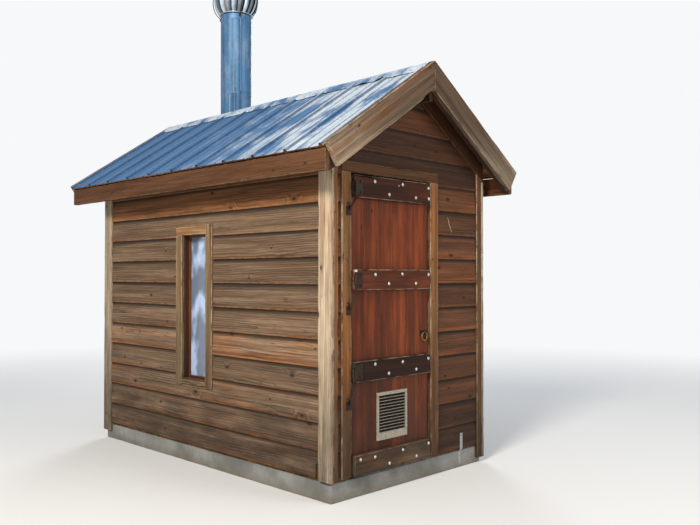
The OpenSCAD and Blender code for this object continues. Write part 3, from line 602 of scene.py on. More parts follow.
def make_materials(boards, metal):
    """Fills the table of finishes that the pieces take theirs from."""

    def timber(key, name, body, family, worn, **options):
        """A board finish: its body colour, the warm and dark colours of a family, and its worn colour."""
        colours = [getattr(boards, setting) for setting in (body, family + "_warm", family + "_dark")]
        MATERIALS[key] = wood(name, *colours, srgb(*worn), **options)

    pale_wood, new_wood, stained = (190, 176, 156), (190, 160, 120), (122, 82, 54)
    timber("sunned", "sunned siding", "sunned", "sunned", (158, 116, 78), strength=0.85, wear=0.45,
           lapped=True, warmth=-0.06, sheltered=0.5, rings=62.0, knots=0.58)
    timber("sheltered", "sheltered siding", "sheltered", "sheltered", stained, wear=0.5, lapped=True,
           rough=(0.55, 0.82), sheltered=0.2, rings=80.0, knots=0.72)
    timber("sheltered_plain", "sheltered boards", "sheltered", "sheltered", stained, strength=0.5, wear=0.5,
           rough=(0.55, 0.82))
    # The barge boards' pale lower ends are partly bleached wood and partly painted sunlight
    timber("barge", "barge boards", "barge", "eave", (170, 152, 128), strength=0.75, wear=0.8, warmth=-0.12,
           rings=90.0, knots=0.6, bleach=barge_lo.z + 0.46)
    timber("trim", "weathered trim", "trim", "trim", pale_wood, wear=0.75, rings=190.0)
    timber("eave", "eave boards", "eave", "eave", (140, 112, 84), strength=0.8, rings=90.0)
    timber("door", "stained door planks", "door", "door", (150, 84, 46), strength=0.5, wear=0.3,
           rough=(0.42, 0.66), relief=0.0006, coat=0.1, knots=0.9)
    timber("batten", "door battens", "batten", "batten", (150, 136, 118), wear=0.75, rough=(0.5, 0.75))
    timber("kick", "kick board", "kick", "trim", (160, 150, 134), wear=0.75)
    timber("bare", "bare timber", "bare", "trim", new_wood, strength=0.4, wear=0.3)
    timber("window wood", "window trim", "window", "trim", pale_wood, strength=0.75, wear=0.8, rings=80.0,
           knots=0.45)
    timber("lining", "wall lining", "bare", "trim", new_wood, strength=0.4, wear=0.0, grain=object_grain())
    # Pale side faces of the corner boards: partly bleached wood, partly painted sunlight
    MATERIALS["pale trim"] = wood("pale trim", boards.pale, boards.trim_warm, boards.sunned_dark,
                                  srgb(*pale_wood), rings=190.0, warmth=-0.12)
    # Roof timber at half the eave boards' colour: painted shade under the roof
    MATERIALS["soffit_shade"] = wood("roof timber", scaled(boards.eave, 0.5), boards.eave_dark, boards.eave_dark,
                               srgb(96, 72, 50), strength=0.5, wear=0.3)
    MATERIALS["roof"] = galvanised("roof sheet", metal.roof, metal.roof_pale, metal.roof_dark, bloom=0.66,
                                   streaks=0.55, gloss=0.4, metal=0.3)
    MATERIALS["pipe"] = galvanised("galvanised pipe", metal.zinc, metal.zinc_pale, metal.zinc_dark, bloom=0.3,
                                   streaks=0.8, gloss=0.46, relief=0.002)
    # The turbine's dark brown is used on the tucked part of each vane: partly stain, partly painted shade
    MATERIALS["turbine"] = galvanised("turbine metal", metal.zinc_pale, metal.zinc, srgb(52, 40, 34),
                                      bloom=0.4, streaks=0.6, gloss=0.4, relief=0.001)
    MATERIALS["strap metal"] = galvanised("strap metal", srgb(138, 138, 134), srgb(168, 168, 162),
                                          srgb(84, 78, 70), streaks=0.7, gloss=0.5, metal=0.3,
                                          relief=0.0005, coordinates=object_grain())
    for key, name, body, spots, amount, rough, shine in (
        ("bolt", "galvanised bolts", metal.bolt, metal.rust, 0.2, 0.42, 0.75),
        ("iron", "hinge iron", metal.iron, metal.rust, 0.45, 0.6, 0.7),
        ("latch", "latch metal", metal.brass, srgb(70, 52, 30), 0.7, 0.45, 0.8),
        ("nail", "nail heads", srgb(60, 48, 40), metal.rust, 0.8, 0.7, 0.5),
        ("vent", "vent metal", metal.vent, srgb(112, 92, 66), 0.35, 0.5, 0.4),
        # The slats are darker than their lips and the rails: painted shade
        ("shaded vent slat", "vent slats", srgb(66, 60, 52), srgb(52, 42, 32), 0.4, 0.6, 0.2),
        # A near-black finish for the sheet behind the vent: painted shade
        ("dark gap", "dark gap", srgb(16, 13, 11), srgb(24, 18, 14), 0.5, 0.9, 0.0),
    ):
        MATERIALS[key] = iron(name, body, spots, amount, rough, shine)
    MATERIALS["pane"] = pane("frosted pane", metal.pane)
    MATERIALS["concrete"] = concrete("cast concrete", metal.concrete)


# Mesh helpers


class Stock:
    """Gathers the boards, rods and sheets of one piece, with the marks that its material reads."""

    def __init__(self, seed):
        self.seed = seed
        self.random = random.Random(seed)
        self.points, self.faces, self.smooth = [], [], []
        self.marks = {"grain": [], "tone": [], "edge": [], "lap": []}
        self.count = 0

    def shift(self, low, high):
        """A random place in the grain. low and high are how far its heart may lie to the side."""
        return (self.random.uniform(0, 40), self.random.uniform(low, high), self.random.uniform(0, 20))

    def take(self, points, faces, grain=None, tone=0.5, edge=0.0, lap=0.5, smooth=False):
        points = np.asarray(points, float).reshape(-1, 3)
        n = len(points)
        self.points.append(points)
        self.faces += [tuple(i + self.count for i in face) for face in faces]
        self.smooth += [smooth] * len(faces)
        self.marks["grain"].append(np.asarray(points if grain is None else grain, float).reshape(-1, 3))
        for key, value in (("tone", tone), ("edge", edge), ("lap", lap)):
            self.marks[key].append(np.broadcast_to(np.asarray(value, float), (n,)))
        self.count += n

    def piece(self, name, material, body, nodes=(), slot=None, sharp=0.6):
        """Makes the piece, which stands for the given CAD nodes."""
        mesh = bpy.data.meshes.new(name)
        mesh.from_pydata(np.concatenate(self.points).tolist(), [], self.faces)
        for key, parts in self.marks.items():
            values = np.concatenate(parts).astype(np.float32)
            made = mesh.attributes.new(key, "FLOAT_VECTOR" if values.ndim == 2 else "FLOAT", "POINT")
            made.data.foreach_set("vector" if values.ndim == 2 else "value", values.ravel())
        made = mesh.attributes.new("height", "FLOAT", "POINT")
        made.data.foreach_set("value", np.concatenate(self.points)[:, 2].astype(np.float32))
        mesh.polygons.foreach_set("use_smooth", self.smooth)
        mesh.set_sharp_from_angle(angle=sharp)
        mesh.update()
        turned = bmesh.new()
        turned.from_mesh(mesh)
        bmesh.ops.recalc_face_normals(turned, faces=turned.faces)
        turned.to_mesh(mesh)
        turned.free()
        mesh.materials.append(MATERIALS[material])
        made = added(name, mesh)
        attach(made, body)
        if nodes:
            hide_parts(*nodes)
        return made


def tube_faces(rings, around, capped=True):
    """Faces between rings of points, each with the same number of them, and over the two ends."""
    faces = []
    for k in range(rings - 1):
        for j in range(around):
            a, b = k * around + j, k * around + (j + 1) % around
            faces.append((a, b, b + around, a + around))
    if capped:
        faces.append(tuple(range(around - 1, -1, -1)))
        faces.append(tuple(range((rings - 1) * around, rings * around)))
    return faces


def sheet_faces(rows, m, left_out=()):
    """Faces of a thin sheet of rows by m - 1 cells: two skins with m points to a row, and their edges."""
    n = (rows + 1) * m
    kept = {(r, j) for r in range(rows) for j in range(m - 1)} - set(left_out)
    faces = []
    for r, j in sorted(kept):
        a = r * m + j
        faces.append((a, a + m, a + m + 1, a + 1))
        faces.append((n + a, n + a + 1, n + a + m + 1, n + a + m))
        for beside, p, q in (((r - 1, j), a, a + 1), ((r + 1, j), a + m, a + m + 1),
                             ((r, j - 1), a, a + m), ((r, j + 1), a + 1, a + m + 1)):
            if beside not in kept:
                faces.append((p, q, n + q, n + p))
    return faces


def outline(corners, inset):
    """Doubles each corner of a closed outline so that it can be cut off, and adds points a little further in.
    Returns the points, the direction that each moves as its corner is cut, edge marks and corner numbers."""
    rows = []
    n = len(corners)
    for i in range(n):
        p, q = np.array(corners[i], float), np.array(corners[(i + 1) % n], float)
        length = np.linalg.norm(q - p)
        d = (q - p) / length
        still = d * 0
        rows.append((p, d, 1.0, i))
        if length > 3.2 * inset:
            rows.append((p + d * inset, still, 0.0, i))
            if length > 14 * inset:
                rows += [(p + d * length * share, still, 0.0, i) for share in (0.35, 0.65)]
            rows.append((q - d * inset, still, 0.0, (i + 1) % n))
        rows.append((q, -d, 1.0, (i + 1) % n))
    return [np.array(column) for column in zip(*rows)]


def sweep(stock, origin, along, across, out, corners, start, end, *, chamfer=0.0022, step=0.09, inset=0.007,
          wear=1.0, plain=(False, False), bow=0.0, tone=None, grain_shift=None, lap_of=None, stops=(),
          level=None):
    """Sweeps a board's section along its length. start and end are lengths, or (length, slope) pairs for ends
    that are cut at an angle across the board. plain ends meet another board and keep their corners. stops are
    places with a section of their own, and level is a height below which the board is cut off."""
    start = start if isinstance(start, tuple) else (start, 0.0)
    end = end if isinstance(end, tuple) else (end, 0.0)
    base, away, edge, which = outline(corners, inset)
    centre = base.mean(0)
    length = end[0] - start[0]
    c = chamfer
    stations = [0.0] if plain[0] else [0.0, c, inset]
    tail = [length] if plain[1] else [length - inset, length - c, length]
    inner = max(1, int(round((length - 2 * inset) / step)))
    lo, hi = stations[-1], tail[0]
    middle = [lo + (hi - lo) * k / inner for k in range(1, inner)] + [s for s in stops if lo < s < hi]
    stations += sorted(middle) + tail
    seed = stock.random.random() * 90
    tone = stock.random.random() if tone is None else tone
    shift = grain_shift or stock.shift(-0.06, 0.06)
    rings, edges = [], []
    for k, s in enumerate(stations):
        cut = np.empty(len(base))
        for corner in set(which):
            n = noise.noise(Vector((s * 9.0, corner * 7.3, seed)))
            amount = c * (0.75 + 0.6 * n * wear)
            if n > 0.32:
                amount += c * 5.0 * (n - 0.32) * wear
            cut[which == corner] = max(amount, c * 0.25)
        ring = base + away * cut[:, None]
        at_end = (k == 0 and not plain[0]) or (k == len(stations) - 1 and not plain[1])
        near_end = (k == 1 and not plain[0]) or (k == len(stations) - 2 and not plain[1])
        if at_end:
            offset = ring - centre
            ring = centre + np.sign(offset) * np.maximum(np.abs(offset) - c, 0)
        mark = np.full(len(base), 0.35) if at_end else np.maximum(edge, 0.6 if near_end else 0.0)
        sag = bow * noise.noise(Vector((s * 0.8, 3.1, seed)))
        ring = ring + np.array([0.0, sag])
        share = s / length
        u = (start[0] + start[1] * ring[:, 0]) * (1 - share) + (end[0] + end[1] * ring[:, 0]) * share
        rings.append(np.column_stack([u, ring]))
        edges.append(mark)
    local = np.concatenate(rings)
    axes = np.array([along, across, out], float)
    world = np.asarray(origin, float) + local @ axes
    if level is not None:
        world[:, 2] = np.maximum(world[:, 2], level)
    lap = 0.5 if lap_of is None else lap_of(local[:, 1])
    faces = tube_faces(len(rings), len(base))
    stock.take(world, faces, local + np.array(shift), tone, np.concatenate(edges), lap)


def rectangle(w, t, x=0.0):
    """The corners of a section of a width and a thickness, which starts at x."""
    return [(x, 0), (x + w, 0), (x + w, t), (x, t)]


def board(stock, low, high, along, **options):
    """A straight board between two corners of its box. along is its long axis: 0, 1 or 2."""
    low, high = Vector(low), Vector(high)
    others = [a for a in range(3) if a != along]
    sizes = [high[a] - low[a] for a in others]
    wide, thin = (others if sizes[0] >= sizes[1] else others[::-1])
    axes = [Vector([1.0 if i == a else 0.0 for i in range(3)]) for a in (along, wide, thin)]
    w, t = high[wide] - low[wide], high[thin] - low[thin]
    inset = min(0.007, t * 0.22)
    options.setdefault("chamfer", min(0.0024, t * 0.12))
    sweep(stock, low, *axes, rectangle(w, t), 0.0, high[along] - low[along], inset=inset, **options)


def lathe(stock, centre, profile, turns=96, edge=0.0):
    """Turns an open outline of (radius, height) points round an upright axis. edge is one mark, or gives one
    for each angle."""
    angles = [math.tau * k / turns for k in range(turns)]
    points, grain = [], []
    for a in angles:
        for r, z in profile:
            points.append((centre[0] + r * math.cos(a), centre[1] + r * math.sin(a), centre[2] + z))
            grain.append((z, a * max(r, 0.02), r))
    m = len(profile)
    faces = []
    for k in range(turns):
        a, b = k * m, ((k + 1) % turns) * m
        for j in range(m - 1):
            faces.append((a + j, b + j, b + j + 1, a + j + 1))
    marks = [edge(a) if callable(edge) else edge for a in angles for _ in profile]
    stock.take(points, faces, grain, edge=marks, smooth=True)


def rod(stock, path, radius, sides=16, tone=0.5):
    """A round bar along a list of points. radius is one number or one for each point."""
    path = [Vector(p) for p in path]
    radii = radius if isinstance(radius, list) else [radius] * len(path)
    points, grain = [], []
    side = (path[1] - path[0]).normalized().orthogonal().normalized()
    run = 0.0
    for i, p in enumerate(path):
        ahead = (path[min(i + 1, len(path) - 1)] - path[max(i - 1, 0)]).normalized()
        side = (side - ahead * side.dot(ahead)).normalized()
        up = ahead.cross(side)
        if i:
            run += (p - path[i - 1]).length
        for k in range(sides):
            a = math.tau * k / sides
            points.append(p + radii[i] * (math.cos(a) * side + math.sin(a) * up))
            grain.append((run, a * radii[i], 0))
    stock.take(points, tube_faces(len(path), sides), grain, tone, smooth=True)
    stock.smooth[-2:] = [False, False]


def stud_head(stock, at, out, radius, height, sides=16, washer=0.0, dome=True):
    """A bolt, screw or nail head that stands on a face, with an optional washer under it."""
    at, out = Vector(at), Vector(out).normalized()
    side = out.orthogonal().normalized()
    up = out.cross(side)
    base = 0.002 if washer else 0.0
    rings = [(washer, 0.0), (washer, 0.0016), (radius * 1.02, base)] if washer else [(radius, -0.0005)]
    if dome:
        turns = [math.pi / 8 * k for k in range(4)]
        rings += [(radius * math.cos(a), base + height * math.sin(a)) for a in turns]
    else:
        rings += [(radius, base + height * 0.75), (radius * 0.85, base + height)]
    points = []
    for r, h in rings:
        for k in range(sides):
            a = math.tau * k / sides
            points.append(at + out * h + r * (math.cos(a) * side + math.sin(a) * up))
    faces = tube_faces(len(rings), sides, capped=False)
    points.append(at + out * (base + height))
    last = (len(rings) - 1) * sides
    faces += [(last + k, last + (k + 1) % sides, len(points) - 1) for k in range(sides)]
    faces.append(tuple(range(sides - 1, -1, -1)))
    stock.take(points, faces, smooth=True, tone=stock.random.random())


def small_screw(stock, at, out):
    """A roofing screw with its washer."""
    stud_head(stock, at, out, 0.0042, 0.004, sides=6, washer=0.0075, dome=False)


def dress(node, material):
    """Gives a CAD node that stays in view its finish."""
    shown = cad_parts[node]
    shown.data.materials.clear()
    shown.data.materials.append(MATERIALS[material])


# Siding


def siding_courses(boards):
    """The lower edge of each siding course, from the lowest up to the ridge."""
    count = int((RIDGE_Z - siding_lo.z) / boards.lap) + 1
    return [siding_lo.z + k * boards.lap for k in range(count)]


def siding_depth(boards, v):
    """How far a siding board's face stands out, at a height above its lower edge."""
    return boards.butt + (boards.tip - boards.butt) * v / boards.lap


def siding_board(stock, boards, wall, z, u0, u1, tone, shift, low, top, plain):
    """One siding board, or a part of one, on a wall given by (origin, along, out). low and top are heights
    above the board's own lower edge."""
    origin, along, out = wall
    corners = [(top, siding_depth(boards, top)), (top, 0.001)]
    if low < 0.001:
        corners = [(0, 0.001), (0.0, boards.butt - 0.004), (0.003, boards.butt - 0.0005),
                   (0.008, siding_depth(boards, 0.008))] + corners
    else:
        corners = [(low, 0.001), (low, siding_depth(boards, low))] + corners
    sweep(
        stock, origin + Z * z, along, Z, out, corners, u0, u1, chamfer=0.0016, step=0.11, inset=0.006,
        wear=1.1, plain=plain, bow=0.0009, tone=tone, grain_shift=shift,
        lap_of=lambda v: np.clip(v / boards.lap, 0, 1),
    )


# Height of a nail over its board's lower edge, and its distance from the board's ends
NAIL_UP, NAIL_IN = 0.028, 0.03
# Spacing of the nails along the long walls, and room between nails and an opening
NAIL_STEP, NAIL_OFF = 0.458, 0.02
# Places of the nails across the gable walls
GABLE_NAILS = (-0.72, -0.4, 0.0, 0.37, 0.72)


def nails(stock, boards, wall, z, spots):
    """Nail heads a little above a siding board's lower edge."""
    origin, along, out = wall
    for u in spots:
        v = NAIL_UP + stock.random.uniform(-0.006, 0.006)
        at = origin + along * (u + stock.random.uniform(-0.008, 0.008)) + Z * (z + v)
        proud = siding_depth(boards, v) + 0.0003
        stud_head(stock, at + out * proud, out, 0.0036, 0.0006, sides=10, dome=False)


# Length that has broken off the lowest board's front end on the left, and how far up the break goes
BROKEN_END, BREAK_TOP = 0.033, 0.100
# Room between the siding and the trim beside it
GAP = 0.002
# How far each board reaches up behind the next one
COVER = 0.004
# Smallest strip of a board that is drawn
LEAST = 0.004


def side_siding(boards, side, name, node):
    """The siding of one long wall. On the left it stops at the window, and its lowest board is broken."""
    stock, heads = Stock(11 + side), Stock(31 + side)
    post_lo, post_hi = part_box(node)
    wall = (Vector((side * WALL_X, 0, 0)), Y, X * side)
    y0, y1, top_z = post_lo.y, post_hi.y, post_hi.z
    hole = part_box("window_casing") if side < 0 else None
    if hole:
        casings = solids("window_casing")
        front = max(casings, key=lambda b: b[1].z)
        sill = min(casings, key=lambda b: b[1].z)
        head = max((b for b in casings if b is not front), key=lambda b: b[1].z)
    for z in siding_courses(boards):
        if z > top_z - 0.01:
            break
        top = min(boards.lap + COVER, top_z - z)
        tone = stock.random.random()
        shift = stock.shift(-0.09, 0.03)
        start = y0 + (BROKEN_END if hole and z < siding_lo.z + 0.01 else 0.0)
        parts = [(start, y1, 0.0, top, (False, False))]
        if hole:
            h0, h1 = hole[0].z - GAP - z, hole[1].z + GAP - z
            w0, w1 = hole[0].y - GAP, hole[1].y + GAP
            if h0 < top and h1 > 0:
                parts = [(start, w0, 0.0, top, (False, True)), (w1, y1, 0.0, top, (True, False))]
                for u0, u1, low, high in (
                    (w0, w1, 0.0, h0),
                    (sill[0].y - 0.001, sill[1].y + 0.001, max(h0, 0.0), sill[0].z - GAP - z),
                    (front[1].y + GAP, w1, head[1].z + GAP - z, min(h1, top)),
                    (w0, w1, h1, top),
                ):
                    if high - low > LEAST and 0 <= low and high <= top:
                        parts.append((u0, u1, low, high, (True, True)))
        for u0, u1, low, high, plain in parts:
            siding_board(stock, boards, wall, z, u0, u1, tone, shift, low, high, plain)
        if start > y0:
            # What is left above the break
            plain = (False, True)
            siding_board(stock, boards, wall, z, y0, start + 0.001, tone, shift, BREAK_TOP, top, plain)
        spots = [start + NAIL_IN] + [y0 + k * NAIL_STEP for k in range(1, 7)] + [y1 - NAIL_IN]
        if hole and -0.1 < z - hole[0].z < 1.3:
            spots = [u for u in spots if not hole[0].y - NAIL_OFF < u < hole[1].y + NAIL_OFF]
        nails(heads, boards, wall, z, spots)
    stock.piece(name, "sunned", "building", [node], "weathered_siding")
    heads.piece(name + "_nails", "nail", "building", slot="iron")


def gable_siding(boards, side, name, node, openings):
    """The siding of a gable wall, between the corner boards and up under the roof."""
    stock, heads = Stock(51 + side), Stock(61 + side)
    wall = (Vector((0, side * WALL_Y, 0)), X, Y * side)
    posts = solids("corner_boards_front" if side < 0 else "corner_boards_rear")
    faces = [b for b in posts if b[1].y - b[0].y < TRIM + 0.002]
    left = min(b[1].x for b in faces) + GAP
    right = max(b[0].x for b in faces) - GAP
    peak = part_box("ridge_board")[0].z
    slope = 1 / math.tan(PITCH)
    # Height at which the underside of the rafters would meet in the middle
    meet = RIDGE_Z - UNDER / math.cos(PITCH) - GAP

    def reach(z):
        """Half the width of the wall under the roof at a height."""
        return (meet - z) / math.tan(PITCH)

    for z in siding_courses(boards):
        if z > peak - 0.03:
            break
        top = min(boards.lap + COVER, peak - z)
        tone = stock.random.random()
        shift = stock.shift(-0.09, 0.03)
        bands = [(0.0, top)]
        # Where the roof starts to cut into a course, the course is split at that height
        for edge in (-left, right):
            v = (meet - edge * math.tan(PITCH)) - z
            if LEAST < v < top - LEAST:
                bands = [(0.0, v), (v, top)]
        for low, high in bands:
            middle = (low + high) / 2
            if reach(z + middle) < min(-left, right):
                u0, u1 = (-reach(z), slope), (reach(z), -slope)
            else:
                u0 = left if -reach(z + middle) < left else -reach(z + high)
                u1 = right if reach(z + middle) > right else reach(z + high)
            spans = [(u0, u1, low, high, (False, False))]
            for o_lo, o_hi in openings:
                w0, w1 = o_lo.x - GAP, o_hi.x + GAP
                h0, h1 = o_lo.z - GAP - z, o_hi.z + GAP - z
                if h0 < high - 0.001 and h1 > low + 0.001:
                    spans = [(u0, w0, low, high, (False, True)), (w1, u1, low, high, (True, False))]
                    if h1 < high - LEAST:
                        spans.append((w0, w1, h1, high, (True, True)))
            for a, b, lo, hi, plain in spans:
                siding_board(stock, boards, wall, z, a, b, tone, shift, lo, hi, plain)
        spots = [u for u in GABLE_NAILS if abs(u) < reach(z + 0.03)]
        for o_lo, o_hi in openings:
            beside = [u for u in spots if not o_lo.x - NAIL_OFF < u < o_hi.x + NAIL_OFF]
            spots = beside if z < o_hi.z else spots
        nails(heads, boards, wall, z, spots)
    stock.piece(name, "sheltered", "building", [node], "stained_siding")
    heads.piece(name + "_nails", "nail", "building", slot="iron")


class OUTHOUSE_OT_side_siding(bpy.types.Operator):
    """Build the lap siding of the two long walls"""

    bl_idname = "outhouse.side_siding"
    bl_label = "Long wall siding"

    def execute(self, context):
        boards = context.scene.outhouse_boards
        side_siding(boards, -1, "window_wall_boards", "left_siding")
        side_siding(boards, 1, "plain_wall_boards", "right_siding")
        return {"FINISHED"}


def splinter(boards):
    """A pale splinter that has lifted from a board to the right of the door."""
    stock = Stock(65)
    z = siding_lo.z + 9 * boards.lap
    path = []
    for share, v in ((0.27, 0.140), (0.295, 0.118), (0.31, 0.082), (0.335, 0.060), (0.36, 0.026)):
        x = casing_hi.x + (corner_hi.x - 0.1 - casing_hi.x) * share
        path.append((x, -WALL_Y - siding_depth(boards, v) - 0.0008, z + v))
    rod(stock, path, [0.0006, 0.0018, 0.0024, 0.002, 0.0006], sides=8, tone=0.9)
    stock.piece("siding_splinter", "pale trim", "building", slot="trim")


class OUTHOUSE_OT_gable_siding(bpy.types.Operator):
    """Build the lap siding of the two gable walls"""

    bl_idname = "outhouse.gable_siding"
    bl_label = "Gable wall siding"

    def execute(self, context):
        boards = context.scene.outhouse_boards
        gable_siding(boards, -1, "door_wall_boards", "front_siding", [(casing_lo, casing_hi)])
        gable_siding(boards, 1, "rear_wall_boards", "rear_siding", [])
        splinter(boards)
        return {"FINISHED"}


# Trim


# Tones of trim boards in the shade and in the sun; the darker tone is painted shade
SHADED, LIGHT = 0.08, 0.58


def boards_from(node, seed, name, material, slot, **options):
    """Rebuilds each straight board of a CAD node with worn edges and its own grain."""
    stock = Stock(seed)
    for low, high in solids(node):
        sizes = list(high - low)
        board(stock, low, high, sizes.index(max(sizes)), **options)
    stock.piece(name, material, "building", [node], slot)


class OUTHOUSE_OT_trim(bpy.types.Operator):
    """Build the corner boards and the door's casings and jambs"""

    bl_idname = "outhouse.trim"
    bl_label = "Corner boards and door trim"

    def execute(self, context):
        for node, seed in (("corner_boards_front", 71), ("corner_boards_rear", 72)):
            faces, sides = Stock(seed), Stock(seed + 5)
            for low, high in solids(node):
                on_side = high.y - low.y > high.x - low.x
                # Boards on the shaded sides get the darker tone: painted shade
                shaded = low.x > 0 or node.endswith("rear")
                corner_board(sides if on_side else faces, low, high, SHADED if shaded else LIGHT)
            faces.piece(node.replace("boards", "posts"), "trim", "building", [node], "trim")
            sides.piece(node.replace("boards", "side_posts"), "pale trim", "building", slot="trim")
        head, legs = Stock(73), Stock(75)
        for low, high in solids("door_casings"):
            flat = high.x - low.x > high.z - low.z
            # The head casing's low tone is painted shade
            board(head if flat else legs, low, high, 0 if flat else 2, chamfer=0.003, wear=1.2,
                  tone=0.15 if flat else 0.55)
        head.piece("door_head_casing", "eave", "building", ["door_casings"], "trim")
        legs.piece("door_side_casings", "trim", "building", slot="trim")
        boards_from("door_jambs", 74, "door_jamb_boards", "trim", "trim")
        return {"FINISHED"}


def corner_board(stock, low, high, tone):
    """A corner board, whose top follows the roof where it stands on a gable wall."""
    w, t = high.x - low.x, high.y - low.y
    if t > w:
        board(stock, low, high, 2, chamfer=0.003, wear=1.3, bow=0.0008, step=0.07, tone=tone)
        return
    rise = math.tan(PITCH) if high.x < 0 else -math.tan(PITCH)
    top = slope_z(low.x, UNDER) - JOINT - low.z
    sweep(stock, low, Z, X, Y, rectangle(w, t), 0.0, (top, rise), chamfer=0.003, wear=1.3, step=0.07,
          inset=0.0055, tone=tone)


# Door


# Places of the bolts across the door, in the upper and the lower row
BOLT_ROWS = ((-0.597, -0.452, -0.164, 0.127), (-0.308, -0.017))
# Tones of the battens, from the lowest up; the middle batten's high tone is painted sunlight
BATTEN_TONES = (-0.35, 0.8, 0.35)
# Thickness of the vent's lining
LINING = 0.0076


class OUTHOUSE_OT_door(bpy.types.Operator):
    """Build the door's planks, battens, kick board and bolts"""

    bl_idname = "outhouse.door"
    bl_label = "Door"

    def execute(self, context):
        door_planks()
        door_battens()
        return {"FINISHED"}


def plank_edges():
    """The joints between the door's planks, from its hinge edge."""
    first, usual = 0.124, 0.1455
    edges = [leaf_lo.x]
    x = leaf_lo.x + first
    while x < leaf_hi.x - 0.02:
        edges.append(x)
        x += usual
    return edges + [leaf_hi.x]


def door_planks():
    """The door's planks, cut round the vent."""
    stock = Stock(81)
    edges = plank_edges()
    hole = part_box("door_vent_louvres")
    z0, z1 = hole[0].z - LINING, hole[1].z + LINING
    x0, x1 = hole[0].x - LINING, hole[1].x + LINING
    y1, thick = leaf_hi.y, leaf_hi.y - leaf_lo.y
    gap = 0.0004
    for a, b in zip(edges, edges[1:]):
        tone = 0.32 + 0.36 * stock.random.random()
        shift = stock.shift(-0.1, 0.0)
        left, right = a + gap, b - gap
        parts = [(left, right, leaf_lo.z, leaf_hi.z, (False, False))]
        if right > x0 and left < x1:
            parts = [(left, right, leaf_lo.z, z0, (False, True)), (left, right, z1, leaf_hi.z, (True, False))]
            if left < x0 - LEAST:
                parts.append((left, x0, z0, z1, (True, True)))
            if right > x1 + LEAST:
                parts.append((x1, right, z0, z1, (True, True)))
        for xa, xb, za, zb, plain in parts:
            sweep(stock, (xa, y1, 0), Z, X, -Y, rectangle(xb - xa, thick), za, zb, plain=plain, inset=0.008,
                  chamfer=0.0032, wear=0.25, tone=tone, step=0.1, grain_shift=shift)
    stock.piece("door_plank_boards", "door", "door", ["door_planks"], "door_wood")


def door_battens():
    """The door's battens and kick board, with the bolts that hold them."""
    stock, bolts = Stock(82), Stock(83)
    for (low, high), tone in zip(solids("door_battens"), BATTEN_TONES):
        board(stock, low, high, 0, chamfer=0.0042, wear=1.4, step=0.05, tone=tone)
        batten_bolts(bolts, low, high, 1)
    stock.piece("door_batten_boards", "batten", "door", ["door_battens"], "door_wood")
    kick = Stock(84)
    low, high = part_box("door_kick_board")
    board(kick, low, high, 0, chamfer=0.0045, wear=1.6, step=0.05, tone=0.6)
    kick.piece("door_kick_plank", "kick", "door", ["door_kick_board"], "door_wood")
    batten_bolts(bolts, low, high, 0)
    top = solids("door_battens")[-1]
    stud_head(bolts, (-0.204, top[0].y, top[1].z - 0.045), -Y, 0.006, 0.003)
    stud_head(bolts, (0.133, top[0].y, top[0].z + 0.041), -Y, 0.009, 0.005, washer=0.012)
    bolts.piece("door_bolts", "bolt", "door", slot="galvanised")


def batten_bolts(bolts, low, high, first):
    """Dome-headed bolts in two staggered rows. first is the upper row's first place that has a bolt."""
    for row, z in ((BOLT_ROWS[0][first:], high.z - 0.033), (BOLT_ROWS[1], low.z + 0.039)):
        for x in row:
            at = (x + bolts.random.uniform(-0.004, 0.004), low.y, z + bolts.random.uniform(-0.004, 0.004))
            stud_head(bolts, at, -Y, 0.0095, 0.006, washer=0.0118)


class OUTHOUSE_OT_door_vent(bpy.types.Operator):
    """Build the louvre vent in the door"""

    bl_idname = "outhouse.door_vent"
    bl_label = "Door vent"

    def execute(self, context):
        vent_frame()
        vent_slats(context.scene.outhouse_metal)
        vent_screen()
        return {"FINISHED"}


def vent_frame():
    """The vent's rails on the door's face, and the lining of its hole."""
    stock = Stock(91)
    low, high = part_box("door_vent_frame")
    inner_lo, inner_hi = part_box("door_vent_louvres")
    face, back = low.y, leaf_lo.y
    z0, z1 = inner_lo.z, inner_hi.z
    rails = (
        (low.x, z1, high.x, high.z, 0), (low.x, low.z, high.x, z0, 0),
        (low.x, z0 + 0.0004, inner_lo.x, z1 - 0.0004, 2), (inner_hi.x, z0 + 0.0004, high.x, z1 - 0.0004, 2),
    )
    for xa, za, xb, zb, along in rails:
        board(stock, (xa, face, za), (xb, back, zb), along, chamfer=0.0022, wear=0.5, step=0.05)
    walls = (
        (inner_lo.x - LINING + 0.0005, z0 - LINING, inner_lo.x, z1 + LINING, 2),
        (inner_hi.x, z0 - LINING, inner_hi.x + LINING - 0.0005, z1 + LINING, 2),
        (inner_lo.x, z0 - LINING, inner_hi.x, z0, 0), (inner_lo.x, z1, inner_hi.x, z1 + LINING, 0),
    )
    for xa, za, xb, zb, along in walls:
        board(stock, (xa, back, za), (xb, leaf_hi.y, zb), along, chamfer=0.001, wear=0.2)
    for x in (low.x + 0.014, high.x - 0.014):
        for z in (low.z + 0.02, high.z - 0.014):
            stud_head(stock, (x, face, z), -Y, 0.004, 0.0018, sides=12)
    stock.piece("vent_frame_rails", "vent", "door", ["door_vent_frame"], "louvre")


def vent_screen():
    """A dark sheet behind the slats: painted shade of the room seen through them."""
    low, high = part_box("door_vent_louvres")
    y = leaf_hi.y - 0.002
    corners = ((low.x, low.z), (high.x, low.z), (high.x, high.z), (low.x, high.z))
    screen = Stock(93)
    screen.take([(x, y + d, z) for d in (0, 0.001) for x, z in corners], tube_faces(2, 4))
    screen.piece("vent_screen", "dark gap", "door", slot="louvre")


